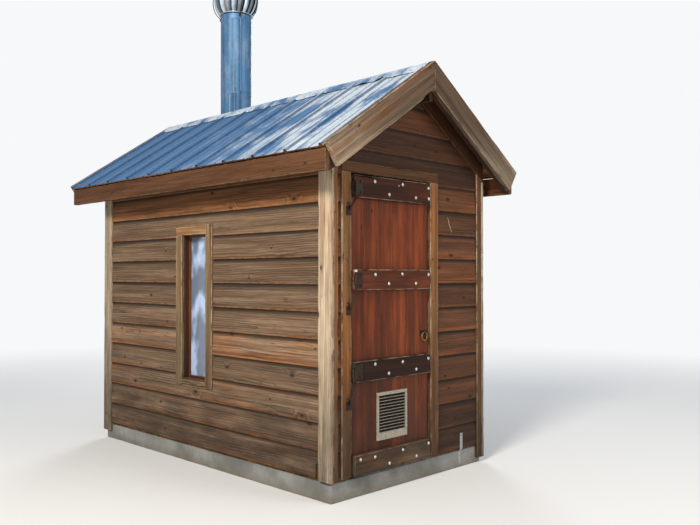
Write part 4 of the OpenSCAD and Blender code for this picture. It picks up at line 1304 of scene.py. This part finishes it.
def vent_slats(metal):
    """Thin sheet slats that rise to the rear, each with a rolled lip along its front edge."""
    low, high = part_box("door_vent_louvres")
    slats, lips = Stock(92), Stock(94)
    pitch = (high.z - low.z) / metal.slats
    y0, y1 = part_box("door_vent_frame")[0].y + 0.004, high.y
    # How much of its space each slat rises through, how hollow it is, and its parts from front to rear
    rise, hollow, parts = 0.92, 1.25, 8
    thick = 0.0016
    for k in range(metal.slats):
        z = low.z + k * pitch
        droop = slats.random.uniform(-0.0012, 0.0012)
        path = []
        for n in range(parts + 1):
            height = z + 0.001 + pitch * rise * (n / parts) ** hollow
            path.append((y0 + (y1 - y0) * n / parts, height))
        stations = ((low.x, 0), ((low.x + high.x) / 2, droop), (high.x, 0))
        points = []
        for x, sag in stations:
            points += [(x, y, h + sag) for y, h in path]
            points += [(x, y, h + sag + thick) for y, h in reversed(path)]
        slats.take(points, tube_faces(3, len(path) * 2), tone=slats.random.random())
        rod(lips, [(x, y0 - 0.0006, z + 0.0022 + sag) for x, sag in stations], 0.0021, sides=10)
    # The slats take a darker finish than their lips: painted shade
    slats.piece("vent_slats", "shaded vent slat", "door", ["door_vent_louvres"], "louvre")
    lips.piece("vent_slat_lips", "vent", "door", slot="louvre")


class OUTHOUSE_OT_fittings(bpy.types.Operator):
    """Finish the hinges, the ring pull and the wall strap"""

    bl_idname = "outhouse.fittings"
    bl_label = "Hinges, ring pull and strap"

    def execute(self, context):
        for node in ("hinge_pintles", "hinge_straps", "door_pull_plate"):
            dress(node, "iron")
        dress("door_pull_ring", "latch")
        dress("tie_strap", "strap metal")
        heads = Stock(101)
        for low, high in solids("hinge_straps"):
            for z in (high.z - 0.016, low.z + 0.016):
                stud_head(heads, (high.x - 0.018, high.y - 0.005, z), -Y, 0.009, 0.006, sides=6, dome=False)
        heads.piece("hinge_strap_bolts", "iron", "door", slot="iron")
        feet = Stock(102)
        for low, high in solids("hinge_pintles"):
            for z in (low.z + 0.012, low.z + 0.078):
                stud_head(feet, (low.x + 0.012, -HALF_L - 0.005, z), -Y, 0.007, 0.005, sides=6, dome=False)
        feet.piece("hinge_foot_bolts", "iron", "building", slot="iron")
        nut = Stock(103)
        middle = solids("hinge_straps")[1]
        pin = Vector((middle[0].x + 0.012, middle[0].y + 0.012, middle[1].z))
        stud_head(nut, pin, Z, 0.011, 0.012, sides=6, washer=0.0118, dome=False)
        nut.piece("hinge_nut", "bolt", "door", slot="galvanised")
        return {"FINISHED"}


class OUTHOUSE_OT_window(bpy.types.Operator):
    """Build the window's casing, lining, sash and pane"""

    bl_idname = "outhouse.window"
    bl_label = "Window"

    def execute(self, context):
        boards_from("window_casing", 111, "window_casing_boards", "window wood", "window_wood", chamfer=0.003,
                    wear=1.3)
        sash_lo, sash_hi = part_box("window_sash")
        rail = Vector((0, 0.016, 0.016))
        for node, seed, name, inner_lo, inner_hi in (
            ("window_frame", 112, "window_lining", sash_lo, sash_hi),
            ("window_sash", 113, "window_sash_rails", sash_lo + rail, sash_hi - rail),
        ):
            stock = Stock(seed)
            low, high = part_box(node)
            for ya, yb in ((low.y, inner_lo.y), (inner_hi.y, high.y)):
                board(stock, (low.x, ya, low.z), (high.x, yb, high.z), 2, chamfer=0.002, wear=0.8)
            for za, zb in ((low.z, inner_lo.z), (inner_hi.z, high.z)):
                board(stock, (low.x, inner_lo.y, za), (high.x, inner_hi.y, zb), 1, chamfer=0.002, wear=0.8)
            # The lining and sash take the darker stained-board finish: painted shade in the window's recess
            stock.piece(name, "sheltered_plain", "building", [node], "window_wood")
        dress("window_glass", "pane")
        return {"FINISHED"}


# Roof


BARGE_DEPTH = 0.162
# Radius of the stack's way through the roof boards and through the sheet, and how near screws come to it
STACK_HOLE, SHEET_HOLE, SCREWS_OFF = 0.160, 0.148, 0.27
# Thickness of sheet metal as it is drawn
SHEET_SKIN = 0.0012


def slope_board(stock, side, x0, x1, d0, d1, y0, y1, level=None, square=False, **options):
    """A board in a roof slope: its length runs down the slope, its ends are cut plumb, or square at its foot,
    and what would hang below the level is cut off."""
    down, up = slope_axes(side)
    thick = y1 - y0
    rise = math.tan(PITCH)
    start = (x0 / math.cos(PITCH), rise)
    end = (x1 / math.cos(PITCH) + rise * d0, 0.0) if square else (x1 / math.cos(PITCH), rise)
    options.setdefault("chamfer", 0.0028)
    if level is not None:
        cut_x = (RIDGE_Z - d1 / math.cos(PITCH) - level) / math.tan(PITCH)
        options["stops"] = ((cut_x - x0) / math.cos(PITCH),)
    sweep(stock, on_ridge(y0), down, -up, Y, rectangle(d1 - d0, thick, d0), start, end,
          inset=min(0.006, thick * 0.22), level=level, **options)


class OUTHOUSE_OT_roof_frame(bpy.types.Operator):
    """Build the rafters, ridge board, roof boards and the boards at the roof's edges"""

    bl_idname = "outhouse.roof_frame"
    bl_label = "Roof timber"

    def execute(self, context):
        stock = Stock(121)
        foot = fascia_lo.z + JOINT
        tail = FASCIA_X - TIMBER - JOINT
        for y in sorted({round(low.y, 4) for low, high in solids("rafters")}):
            for side in (-1, 1):
                slope_board(stock, side, TIMBER / 2, tail, SHEET + DECK, UNDER, y, y + TIMBER, level=foot,
                            step=0.2)
        stock.piece("rafter_timbers", "soffit_shade", "building", ["rafters"], "framing")
        boards_from("ridge_board", 122, "ridge_timber", "soffit_shade", "framing")
        for side, name in ((-1, "left"), (1, "right")):
            deck = Stock(123 + side)
            roof_boards(deck, side)
            deck.piece("roof_boards_" + name, "bare", "building", ["roof_deck_" + name], "framing")
        boards_from("fascia_boards", 125, "fascia_planks", "eave", "trim", chamfer=0.003, wear=1.2, step=0.07)
        for end, seed in (("front", 126), ("rear", 127)):
            barge = Stock(seed)
            low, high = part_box("barge_boards_" + end)
            for side in (-1, 1):
                slope_board(barge, side, JOINT, high.x, -RIB, BARGE_DEPTH, low.y, high.y, square=True,
                            chamfer=0.0036, wear=1.3, step=0.06)
            barge.piece("barge_planks_" + end, "barge", "building", ["barge_boards_" + end], "trim")
        frieze = Stock(128)
        for low, high in solids("frieze_boards"):
            side = 1 if low.x + high.x > 0 else -1
            slope_board(frieze, side, TIMBER / 2 + JOINT, HALF_W, SHEET + DECK, UNDER, low.y, high.y)
        frieze.piece("frieze_planks", "sheltered_plain", "building", ["frieze_boards"], "stained_siding")
        return {"FINISHED"}


def roof_boards(stock, side):
    """Roof boards that run along the building, with the stack's hole left open on its slope."""
    down, up = slope_axes(side)
    cover = SHEET + SLACK
    rows, gap = 9, 0.0008
    width = FASCIA_X / math.cos(PITCH) / rows
    near = stack_axis.x / math.cos(PITCH)
    half = STACK_HOLE / math.cos(PITCH)
    for k in range(rows):
        a = k * width + gap if k else 0.001
        b = (k + 1) * width - gap
        tone = stock.random.random()
        spans = [(deck_lo.y, deck_hi.y)]
        if side > 0 and a < near + half and b > near - half:
            reach = STACK_HOLE
            if a > near or b < near:
                closest = min(abs(a - near), abs(b - near)) * math.cos(PITCH)
                reach = math.sqrt(max(STACK_HOLE ** 2 - closest ** 2, 0.0))
            spans = [(deck_lo.y, stack_axis.y - reach), (stack_axis.y + reach, deck_hi.y)]
        for y0, y1 in spans:
            sweep(stock, on_ridge(0) - up * cover, Y, down, -up, rectangle(b - a, DECK - SLACK, a), y0, y1,
                  chamfer=0.0015, wear=0.6, step=0.3, inset=0.004, tone=tone)


class OUTHOUSE_OT_roof_metal(bpy.types.Operator):
    """Build the ribbed roof sheets and the bent ridge cap"""

    bl_idname = "outhouse.roof_metal"
    bl_label = "Roof sheets and ridge cap"

    def execute(self, context):
        metal = context.scene.outhouse_metal
        for side, name in ((-1, "left"), (1, "right")):
            roof_sheet(metal, side, name)
        ridge_cap(metal)
        return {"FINISHED"}


def rib_spots(metal):
    """The places of the roof's ribs along the building."""
    count = int((sheet_hi.y - sheet_lo.y - 0.043) / metal.rib_pitch) + 1
    return [sheet_lo.y + 0.022 + i * metal.rib_pitch for i in range(count)]


def rib_section(metal):
    """The sheet's height over its flat face along the building, as (y, height) points."""
    spots = rib_spots(metal)
    h = metal.rib_height
    rib = [(0.007, h), (0.009, h * 0.93), (0.018, h * 0.1), (0.020, 0.0)]
    swage = [(0.005, 0.0022), (0.010, 0.0)]
    points = [(sheet_lo.y, 0.0), (sheet_hi.y, 0.0)]
    for i, c in enumerate(spots):
        points += [(c + way * d, high) for d, high in rib for way in (-1, 1)]
        if i < len(spots) - 1:
            for share in (0.32, 0.68):
                m = c + metal.rib_pitch * share
                points += [(m + way * d, high) for d, high in swage for way in (-1, 1)]
    return sorted(points)


def roof_sheet(metal, side, name):
    """The ribbed sheet of one slope, a little uneven, with its screws."""
    stock = Stock(131 + side)
    down, up = slope_axes(side)
    section = rib_section(metal)
    length = (EAVE_X - 0.0008) / math.cos(PITCH)
    rows, m = 40, len(section)
    top, grain, bloom, rib_side_shade = [], [], [], []
    for r in range(rows + 1):
        s = 0.006 + (length - 0.006) * r / rows
        for y, h in section:
            wave = 0.0016 * noise.noise(Vector((s * 2.2, y * 2.6, side * 3.0)))
            wave += 0.0006 * noise.noise(Vector((s * 9.0, y * 9.0, side * 5.0)))
            edge_curl = 0.0015 * noise.noise(Vector((y * 6.0, 2.0, side))) if r == rows else 0.0
            lift = max(h + wave * (0.4 if h else 1.0) + edge_curl, 0.0 if h == 0 else h * 0.5)
            top.append(on_ridge(y) + down * s + up * lift)
            grain.append((s, y, side * 4.0))
            # Paler towards the front and the ridge: chalky bloom, and a painted sunlit patch
            bloom.append(min(1.0, max(0.05, 0.42 - y * 0.42 - s * 0.14)))
            # The ribs' sides are marked for the finish to darken them: painted shade
            rib_side_shade.append(1.0 if 0.05 * metal.rib_height < h < 0.97 * metal.rib_height else 0.0)

    def from_stack(p):
        return math.hypot(p.x - stack_axis.x, p.y - stack_axis.y) if side > 0 else math.inf

    cells = [(r, j) for r in range(rows) for j in range(m - 1)]
    middles = [(top[r * m + j] + top[(r + 1) * m + j + 1]) / 2 for r, j in cells]
    hole = [cell for cell, middle in zip(cells, middles) if from_stack(middle) < SHEET_HOLE]
    faces = sheet_faces(rows, m, hole)
    used = sorted({i for f in faces for i in f})
    renumber = {old: new for new, old in enumerate(used)}
    points = top + [p - up * SHEET_SKIN for p in top]
    n = len(top)
    stock.take([points[i] for i in used], [tuple(renumber[i] for i in f) for f in faces],
               [grain[i % n] for i in used], edge=[rib_side_shade[i % n] for i in used],
               lap=[bloom[i % n] for i in used], smooth=True)
    stock.piece("roof_metal_" + name, "roof", "building", ["roof_sheet_" + name], "roof_metal", sharp=0.35)
    screws = Stock(141 + side)
    spots = rib_spots(metal)
    for c in spots:
        for s in (0.25, 0.62, 0.95, length - 0.06):
            dy = 0.036 if c < spots[-1] else -0.034
            at = on_ridge(c + dy) + down * (s + screws.random.uniform(-0.008, 0.008)) + up * 0.0018
            if from_stack(at) >= SCREWS_OFF:
                small_screw(screws, at, up)
    screws.piece("roof_screws_" + name, "bolt", "building", slot="galvanised")


def ridge_cap(metal):
    """The bent strip over the ridge, with its dents and a lifted lower edge."""
    stock = Stock(151)
    base = metal.rib_height + 0.0006
    rows = 120
    y0, y1 = sheet_lo.y, sheet_hi.y
    steps = 9
    # Places along the left edge where the cap has lifted
    lifted = (-1.27, -1.09)
    points, grain = [], []
    rib_y, rib_h = zip(*rib_section(metal))
    lanes = [(-1, metal.cap_width * (1 - k / steps)) for k in range(steps)] + [(0, 0.0)]
    lanes += [(1, metal.cap_width * (k + 1) / steps) for k in range(steps)]
    for r in range(rows + 1):
        y = y0 + (y1 - y0) * r / rows
        for side, s in lanes:
            down, up = slope_axes(side or 1)
            if side == 0:
                up = Z * math.cos(PITCH)
            far = s / metal.cap_width
            sag = 0.006 * noise.noise(Vector((y * 2.3, side * 4.0, 1.0))) * (0.3 + far)
            dent = 0.004 * noise.noise(Vector((y * 7.0, s * 9.0, side * 2.0)))
            lift = max(0.0, noise.noise(Vector((y * 1.9 + 4.0, side * 7.0, 5.0)))) * 0.010 * far ** 2
            crown = 0.0025 * (1 - far) if side else 0.004
            dip = (float(np.interp(y, rib_y, rib_h)) - metal.rib_height) * 0.72 * max(0.0, far - 0.45) / 0.55
            if side < 0:
                lift += sum(0.013 * math.exp(-((y - c) / 0.05) ** 2) for c in lifted) * far ** 3
            height = base + dip + sag * 0.3 + abs(dent) + lift + crown
            points.append(on_ridge(y) + down * s + up * height)
            grain.append((s, y, 9.0 + side))
    low = [p - Z * SHEET_SKIN for p in points]
    stock.take(points + low, sheet_faces(rows, len(lanes)), grain + grain, lap=0.8, smooth=True)
    stock.piece("ridge_cap_metal", "roof", "building", ["ridge_cap"], "roof_metal", sharp=0.5)
    screws = Stock(152)
    y = y0 + 0.12
    while y < y1 - 0.05:
        for side in (-1, 1):
            down, up = slope_axes(side)
            at = on_ridge(y) + down * (metal.cap_width - 0.02) + up * (base + 0.004)
            small_screw(screws, at, up)
        y += metal.rib_pitch
    screws.piece("ridge_cap_screws", "bolt", "building", slot="galvanised")


# Stack and turbine


class OUTHOUSE_OT_stack(bpy.types.Operator):
    """Build the vent stack, its flashing and the turbine on top"""

    bl_idname = "outhouse.stack"
    bl_label = "Vent stack and turbine"

    def execute(self, context):
        metal = context.scene.outhouse_metal
        vent_stack()
        dress("stack_flashing", "strap metal")
        turbine(metal)
        return {"FINISHED"}


# Radius of the pipe, and the height of the joint between its two upper lengths
PIPE_R = (stack_hi.x - stack_lo.x) / 2 - 0.002
JOINT_Z = 3.343
# Places round the pipe of its dark vertical streaks, in degrees: painted reflections
REFLECTION_STREAKS = (34, 109, 151, 220.3, 249.3, 316)


def vent_stack():
    """The stack's pipe with its joints, beads, seams and rivets."""
    stock = Stock(161)
    r, seam_z = PIPE_R, JOINT_Z
    top, bottom = stack_hi.z, stack_lo.z
    profile = [(0, bottom), (0, 1.4), (0.0018, 1.4004), (0.0018, 1.404), (0, 1.4046), (0, 2.5)]
    profile += [(0, seam_z - 0.03), (0.0022, seam_z - 0.024), (0.0022, seam_z - 0.018), (0, seam_z - 0.012)]
    profile += [(0, seam_z), (0.0016, seam_z + 0.0004), (0.0016, top - 0.04), (0.0016, top)]
    profile += [(-0.0014, top), (-0.0014, seam_z), (-0.0014, bottom), (0, bottom)]
    # The finish darkens the pipe along these streaks: painted reflections
    streaks = [math.radians(d) for d in REFLECTION_STREAKS]
    lathe(stock, stack_axis, [(r + out, z) for out, z in profile], turns=128,
          edge=lambda a: 0.9 * sum(math.exp(-((a - s) / 0.115) ** 2) for s in streaks))
    # Lock seams down the two lengths of pipe, turned a little from each other
    for angle, z0, z1, rr in ((-1.92, seam_z + 0.001, top, r + 0.0016), (-2.62, bottom, seam_z - 0.031, r)):
        radial, side = round_axes(angle)
        at = stack_axis + radial * (rr - 0.0006) - side * 0.005
        sweep(stock, at, Z, side, radial, rectangle(0.010, 0.0026), z0, z1, chamfer=0.0006, step=0.3,
              wear=0.0, inset=0.0008)
    for k in range(3):
        radial = round_axes(math.radians(-128 + 120 * k))[0]
        at = stack_axis + radial * (r + 0.0016) + Z * (seam_z + 0.012)
        stud_head(stock, at, radial, 0.004, 0.003, sides=8, dome=False)
    stock.piece("stack_pipe", "pipe", "building", ["vent_stack"], "galvanised")


def turbine(metal):
    """The collar with its bars and post, the vanes between two rings, and the rods that hold the hub."""
    collar = Stock(171)
    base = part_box("turbine_collar")[1].z
    r = PIPE_R
    z0 = stack_hi.z - 0.008
    ring = [(0.0004, 0), (0.0018, 0), (0.003, 0.003), (0.0018, 0.007), (0.0018, 0.044), (0.003, 0.048),
            (0.003, 0.054), (0.0018, 0.058), (0.0004, 0.058), (0.0004, 0)]
    lathe(collar, stack_axis, [(r + out, z0 + z) for out, z in ring])
    bar_z = stack_hi.z + 0.005
    for a in (0, math.pi / 2):
        d, side = round_axes(a)
        start = stack_axis - d * (r + 0.001) - side * 0.008 + Z * bar_z
        sweep(collar, start, d, side, Z, rectangle(0.016, 0.004), 0.0, 2 * r + 0.002, chamfer=0.0006, wear=0,
              inset=0.001)
    post = [(0.0, bar_z), (0.006, bar_z), (0.006, base - 0.002), (0.004, base), (0.0, base)]
    lathe(collar, stack_axis, post, turns=24)
    collar.piece("turbine_throat", "pipe", "building", ["turbine_collar"], "galvanised")
    brace_rods()
    head = Stock(172)
    foot_r = r + 0.0145
    widest = (head_hi.x - head_lo.x) / 2 + 0.0025
    z0, z1 = head_lo.z + 0.004, head_hi.z - 0.028
    middle, half = (z0 + z1) / 2, (z1 - z0) / 2
    arc_c = (widest ** 2 - foot_r ** 2 - half ** 2) / (2 * (widest - foot_r))
    arc_r = widest - arc_c
    levels, strips = 14, 5
    # Width of a vane in spaces between vanes, its twist from foot to top, and how deep its far edge lies
    overlap, twist, depth = 1.34, 0.10, 0.030
    span = math.radians(360 / metal.vanes * overlap)
    for i in range(metal.vanes):
        start = math.tau * i / metal.vanes
        # Every other vane is darker: painted light and shade
        tone = (0.2, 0.62)[i % 2] + head.random.uniform(-0.1, 0.2)
        rims, grain, tucked_stain_and_shade = ([], []), [], []
        for k in range(levels + 1):
            z = z0 + (z1 - z0) * k / levels
            globe = arc_c + math.sqrt(max(arc_r ** 2 - (z - middle) ** 2, 0))
            lean = twist * (k / levels - 0.5)
            for j in range(strips + 1):
                s = j / strips
                a = start + span * (s - 0.5) + lean
                tuck = depth * s ** 1.6
                rolled = 0.0035 * max(0.0, 1 - s / 0.12)
                rr = globe - 0.001 - tuck - rolled
                for rim, reach in zip(rims, (rr, rr - SHEET_SKIN)):
                    rim.append((stack_axis.x + reach * math.cos(a), stack_axis.y + reach * math.sin(a), z))
                grain.append((z, s * 0.06 + i * 0.3, 0))
                # The part that is tucked behind the next vane is darker: partly stain, partly painted shade
                tucked_stain_and_shade.append(min(1.0, max(0.0, (s - 0.3) / 0.22)) * 1.15)
        faces = sheet_faces(levels, strips + 1)
        head.take(rims[0] + rims[1], faces, grain + grain, tone, tucked_stain_and_shade + tucked_stain_and_shade, smooth=True)
    foot = [(-0.034, 0.001), (-0.034, 0.005), (0.002, 0.005), (0.0035, 0.004), (0.0035, 0.001), (0.001, 0.0),
            (-0.034, 0.001)]
    lathe(head, stack_axis, [(foot_r + out, head_lo.z + z) for out, z in foot])
    crown = [(1, 0.0035, -0.003), (1, 0.0045, 0), (1, 0.003, 0.003), (0.86, 0, 0.008), (0.6, 0, 0.015),
             (0.34, 0, 0.021), (0, 0.020, 0.023), (0, 0.016, 0.024), (0, 0.014, 0.029), (0, 0.0, 0.030),
             (0, 0.0, 0.019), (0.6, 0, 0.012), (1, 0, -0.001), (1, 0.0035, -0.003)]
    lathe(head, stack_axis, [(foot_r * share + out, z1 + z) for share, out, z in crown])
    bearing = [(0.0065, -0.02), (0.016, -0.02), (0.016, 0.022), (0.0065, 0.022), (0.0065, -0.02)]
    lathe(head, stack_axis, [(out, z1 + z) for out, z in bearing], turns=24)
    head.piece("turbine_vanes", "turbine", "turbine", ["turbine_head"], "galvanised", sharp=0.7)


def brace_rods():
    """Three bent rods that stand on the collar and hold the hub on top of the post."""
    middle = Vector((stack_axis.x, stack_axis.y, head_lo.z + 0.003 + 0.150))
    arc_x, arc_r = 0.0244, 0.2206
    # Where each rod starts on its arc and how far it goes, in degrees
    first, turn, steps = -50.4, 138, 24
    # The lugs' distance from the axis, depth below the middle, half their width, and thickness
    lug_r, below, half, thick = 0.1558, 0.194, 0.008, 0.0137
    stock = Stock(173)
    for k in range(3):
        radial, side = round_axes(math.radians(6.8 + 120 * k))
        path = []
        for n in range(steps + 1):
            a = math.radians(first + turn * n / steps)
            path.append(middle + radial * (arc_x + arc_r * math.cos(a)) + Z * (arc_r * math.sin(a)))
        rod(stock, path, 0.004, sides=12)
        lug = middle + radial * lug_r - side * half - Z * below
        sweep(stock, lug, Z, side, radial, rectangle(2 * half, thick), 0.0, 0.031, chamfer=0.0015,
              inset=0.003, wear=0.3)
        bolt = lug + radial * thick + side * half + Z * 0.009
        stud_head(stock, bolt, radial, 0.004, 0.003, sides=6, dome=False)
    hub_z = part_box("turbine_braces")[1].z - 0.012
    hub = [(0.0, 0), (0.033, 0), (0.034, 0.001), (0.034, 0.010), (0.032, 0.012), (0.0, 0.012)]
    lathe(stock, stack_axis, [(r, hub_z + z) for r, z in hub], turns=32)
    stock.piece("turbine_brace_rods", "iron", "building", ["turbine_braces"], "iron")


# Base and walls


class OUTHOUSE_OT_base(bpy.types.Operator):
    """Build the concrete base and finish the framed walls"""

    bl_idname = "outhouse.base"
    bl_label = "Base and walls"

    def execute(self, context):
        stock = Stock(181)
        size = slab_hi - slab_lo
        sweep(stock, slab_lo, Y, X, Z, rectangle(size.x, size.z), 0.0, size.y, chamfer=0.006, step=0.05,
              inset=0.02, wear=1.1)
        stock.piece("concrete_base", "concrete", "building", ["foundation_slab"], "concrete")
        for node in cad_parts:
            if "_wall" in node:
                dress(node, "lining")
        return {"FINISHED"}


# Stage


class OUTHOUSE_OT_stage(bpy.types.Operator):
    """Place the floor, the lights and the camera"""

    bl_idname = "outhouse.stage"
    bl_label = "Stage"

    def execute(self, context):
        floor(context.scene.outhouse_metal.floor)
        lights()
        camera()
        return {"FINISHED"}


def added(name, data):
    """Puts a new object into the scene."""
    made = bpy.data.objects.new(name, data)
    bpy.context.scene.collection.objects.link(made)
    return made


def seen_by(net, other):
    """One where a ray comes from the camera or is of the other kind, and zero elsewhere."""
    rays = net.add("ShaderNodeLightPath", out=None)
    return net.math("MAXIMUM", rays.outputs["Is Camera Ray"], rays.outputs[other])


def mixed(net, factor, first, second, end):
    """Mixes two shaders into an output."""
    mix = net.add("ShaderNodeMixShader", out=None)
    net.put(mix.inputs[0], factor)
    net.put(mix.inputs[1], first)
    net.put(mix.inputs[2], second)
    net.put(end.inputs[0], mix.outputs[0])


# Linear colour of the backdrop, and the distances between which the floor fades into it
BACKDROP = (0.93, 0.94, 0.95)
FADE = (4.5, 11.0)


def floor(colour):
    """A wide floor that fades into the backdrop."""
    mesh = bpy.data.meshes.new("studio_floor")
    r = 60.0
    mesh.from_pydata([(-r, -r, 0), (r, -r, 0), (r, r, 0), (-r, r, 0)], [], [(0, 1, 2, 3)])
    material, net, shader = new_material("studio floor")
    for key, value in (("Base Color", colour), ("Roughness", 0.9), ("Specular IOR Level", 0.1)):
        net.put(shader.inputs[key], value)
    place = net.add("ShaderNodeTexCoord", out="Object")
    away = net.add("ShaderNodeVectorMath", place, operation="LENGTH", out="Value")
    glow = net.add("ShaderNodeEmission", Color=BACKDROP)
    end = next(n for n in net.tree.nodes if n.type == "OUTPUT_MATERIAL")
    factor = net.times(net.ramp(away, *FADE), seen_by(net, "Is Glossy Ray"))
    mixed(net, factor, shader.outputs[0], glow, end)
    mesh.materials.append(material)
    added("studio_floor", mesh)


def lights():
    """A pale sky, and three lamps that face the outhouse."""
    world = bpy.data.worlds.new("studio")
    world.use_nodes = True
    world.node_tree.nodes.clear()
    net = Net(world.node_tree)
    plain = net.add("ShaderNodeBackground", Color=(0.80, 0.88, 1.0), Strength=0.5)
    pale = net.add("ShaderNodeBackground", Color=BACKDROP)
    end = net.add("ShaderNodeOutputWorld", out=None)
    mixed(net, seen_by(net, "Is Transmission Ray"), plain, pale, end)
    bpy.context.scene.world = world
    lamps = (
        ("key", (-8.5, -4.0, 7.2), 3.0, 1150.0, (1.0, 0.94, 0.85)),
        ("fill", (2.5, -9.0, 4.2), 5.0, 290.0, (1.0, 0.97, 0.93)),
        ("back", (7.0, 7.0, 6.0), 4.0, 420.0, (0.95, 0.97, 1.0)),
    )
    for name, place, size, power, colour in lamps:
        light = bpy.data.lights.new(name, "AREA")
        light.shape, light.size, light.energy, light.color = "DISK", size, power, colour
        made = added(name, light)
        made.location = place
        made.rotation_euler = (Vector((0, 0, 1.4)) - Vector(place)).to_track_quat("-Z", "Y").to_euler()


def camera():
    """The view of the photograph."""
    view = bpy.data.cameras.new("photo view")
    view.sensor_width, view.lens = 36.0, 39.28
    view.clip_end = 200.0
    made = added("photo view", view)
    made.location = (-4.3007, -5.1177, 1.5006)
    made.rotation_euler = (math.radians(90.943), 0, math.radians(-45.229))
    bpy.context.scene.camera = made


class OUTHOUSE_PT_panel(bpy.types.Panel):
    """Lists the outhouse's sizes, colours and building steps"""

    bl_idname = "OUTHOUSE_PT_panel"
    bl_label = "Outhouse"
    bl_space_type = "VIEW_3D"
    bl_region_type = "UI"
    bl_category = "Outhouse"

    def draw(self, context):
        for settings in (context.scene.outhouse_boards, context.scene.outhouse_metal):
            column = self.layout.column()
            for key in settings.__annotations__:
                column.prop(settings, key)
        for step in STEPS:
            self.layout.operator(step.bl_idname)


STEPS = (
    OUTHOUSE_OT_base, OUTHOUSE_OT_side_siding, OUTHOUSE_OT_gable_siding, OUTHOUSE_OT_trim, OUTHOUSE_OT_door,
    OUTHOUSE_OT_door_vent, OUTHOUSE_OT_fittings, OUTHOUSE_OT_window, OUTHOUSE_OT_roof_frame,
    OUTHOUSE_OT_roof_metal, OUTHOUSE_OT_stack, OUTHOUSE_OT_stage,
)
CLASSES = (BoardSettings, MetalSettings, *STEPS, OUTHOUSE_PT_panel)


def register():
    for made in CLASSES:
        bpy.utils.register_class(made)
    bpy.types.Scene.outhouse_boards = bpy.props.PointerProperty(type=BoardSettings)
    bpy.types.Scene.outhouse_metal = bpy.props.PointerProperty(type=MetalSettings)


def unregister():
    del bpy.types.Scene.outhouse_metal
    del bpy.types.Scene.outhouse_boards
    for made in reversed(CLASSES):
        bpy.utils.unregister_class(made)


def main():
    register()
    scene = bpy.context.scene
    scene.view_settings.view_transform = "Standard"
    make_materials(scene.outhouse_boards, scene.outhouse_metal)
    for step in STEPS:
        family, action = step.bl_idname.split(".")
        result = getattr(getattr(bpy.ops, family), action)()
        if result != {"FINISHED"}:
            raise RuntimeError(f"{step.bl_label} did not finish")
    bpy.context.view_layer.update()


if __name__ == "__main__":
    main()
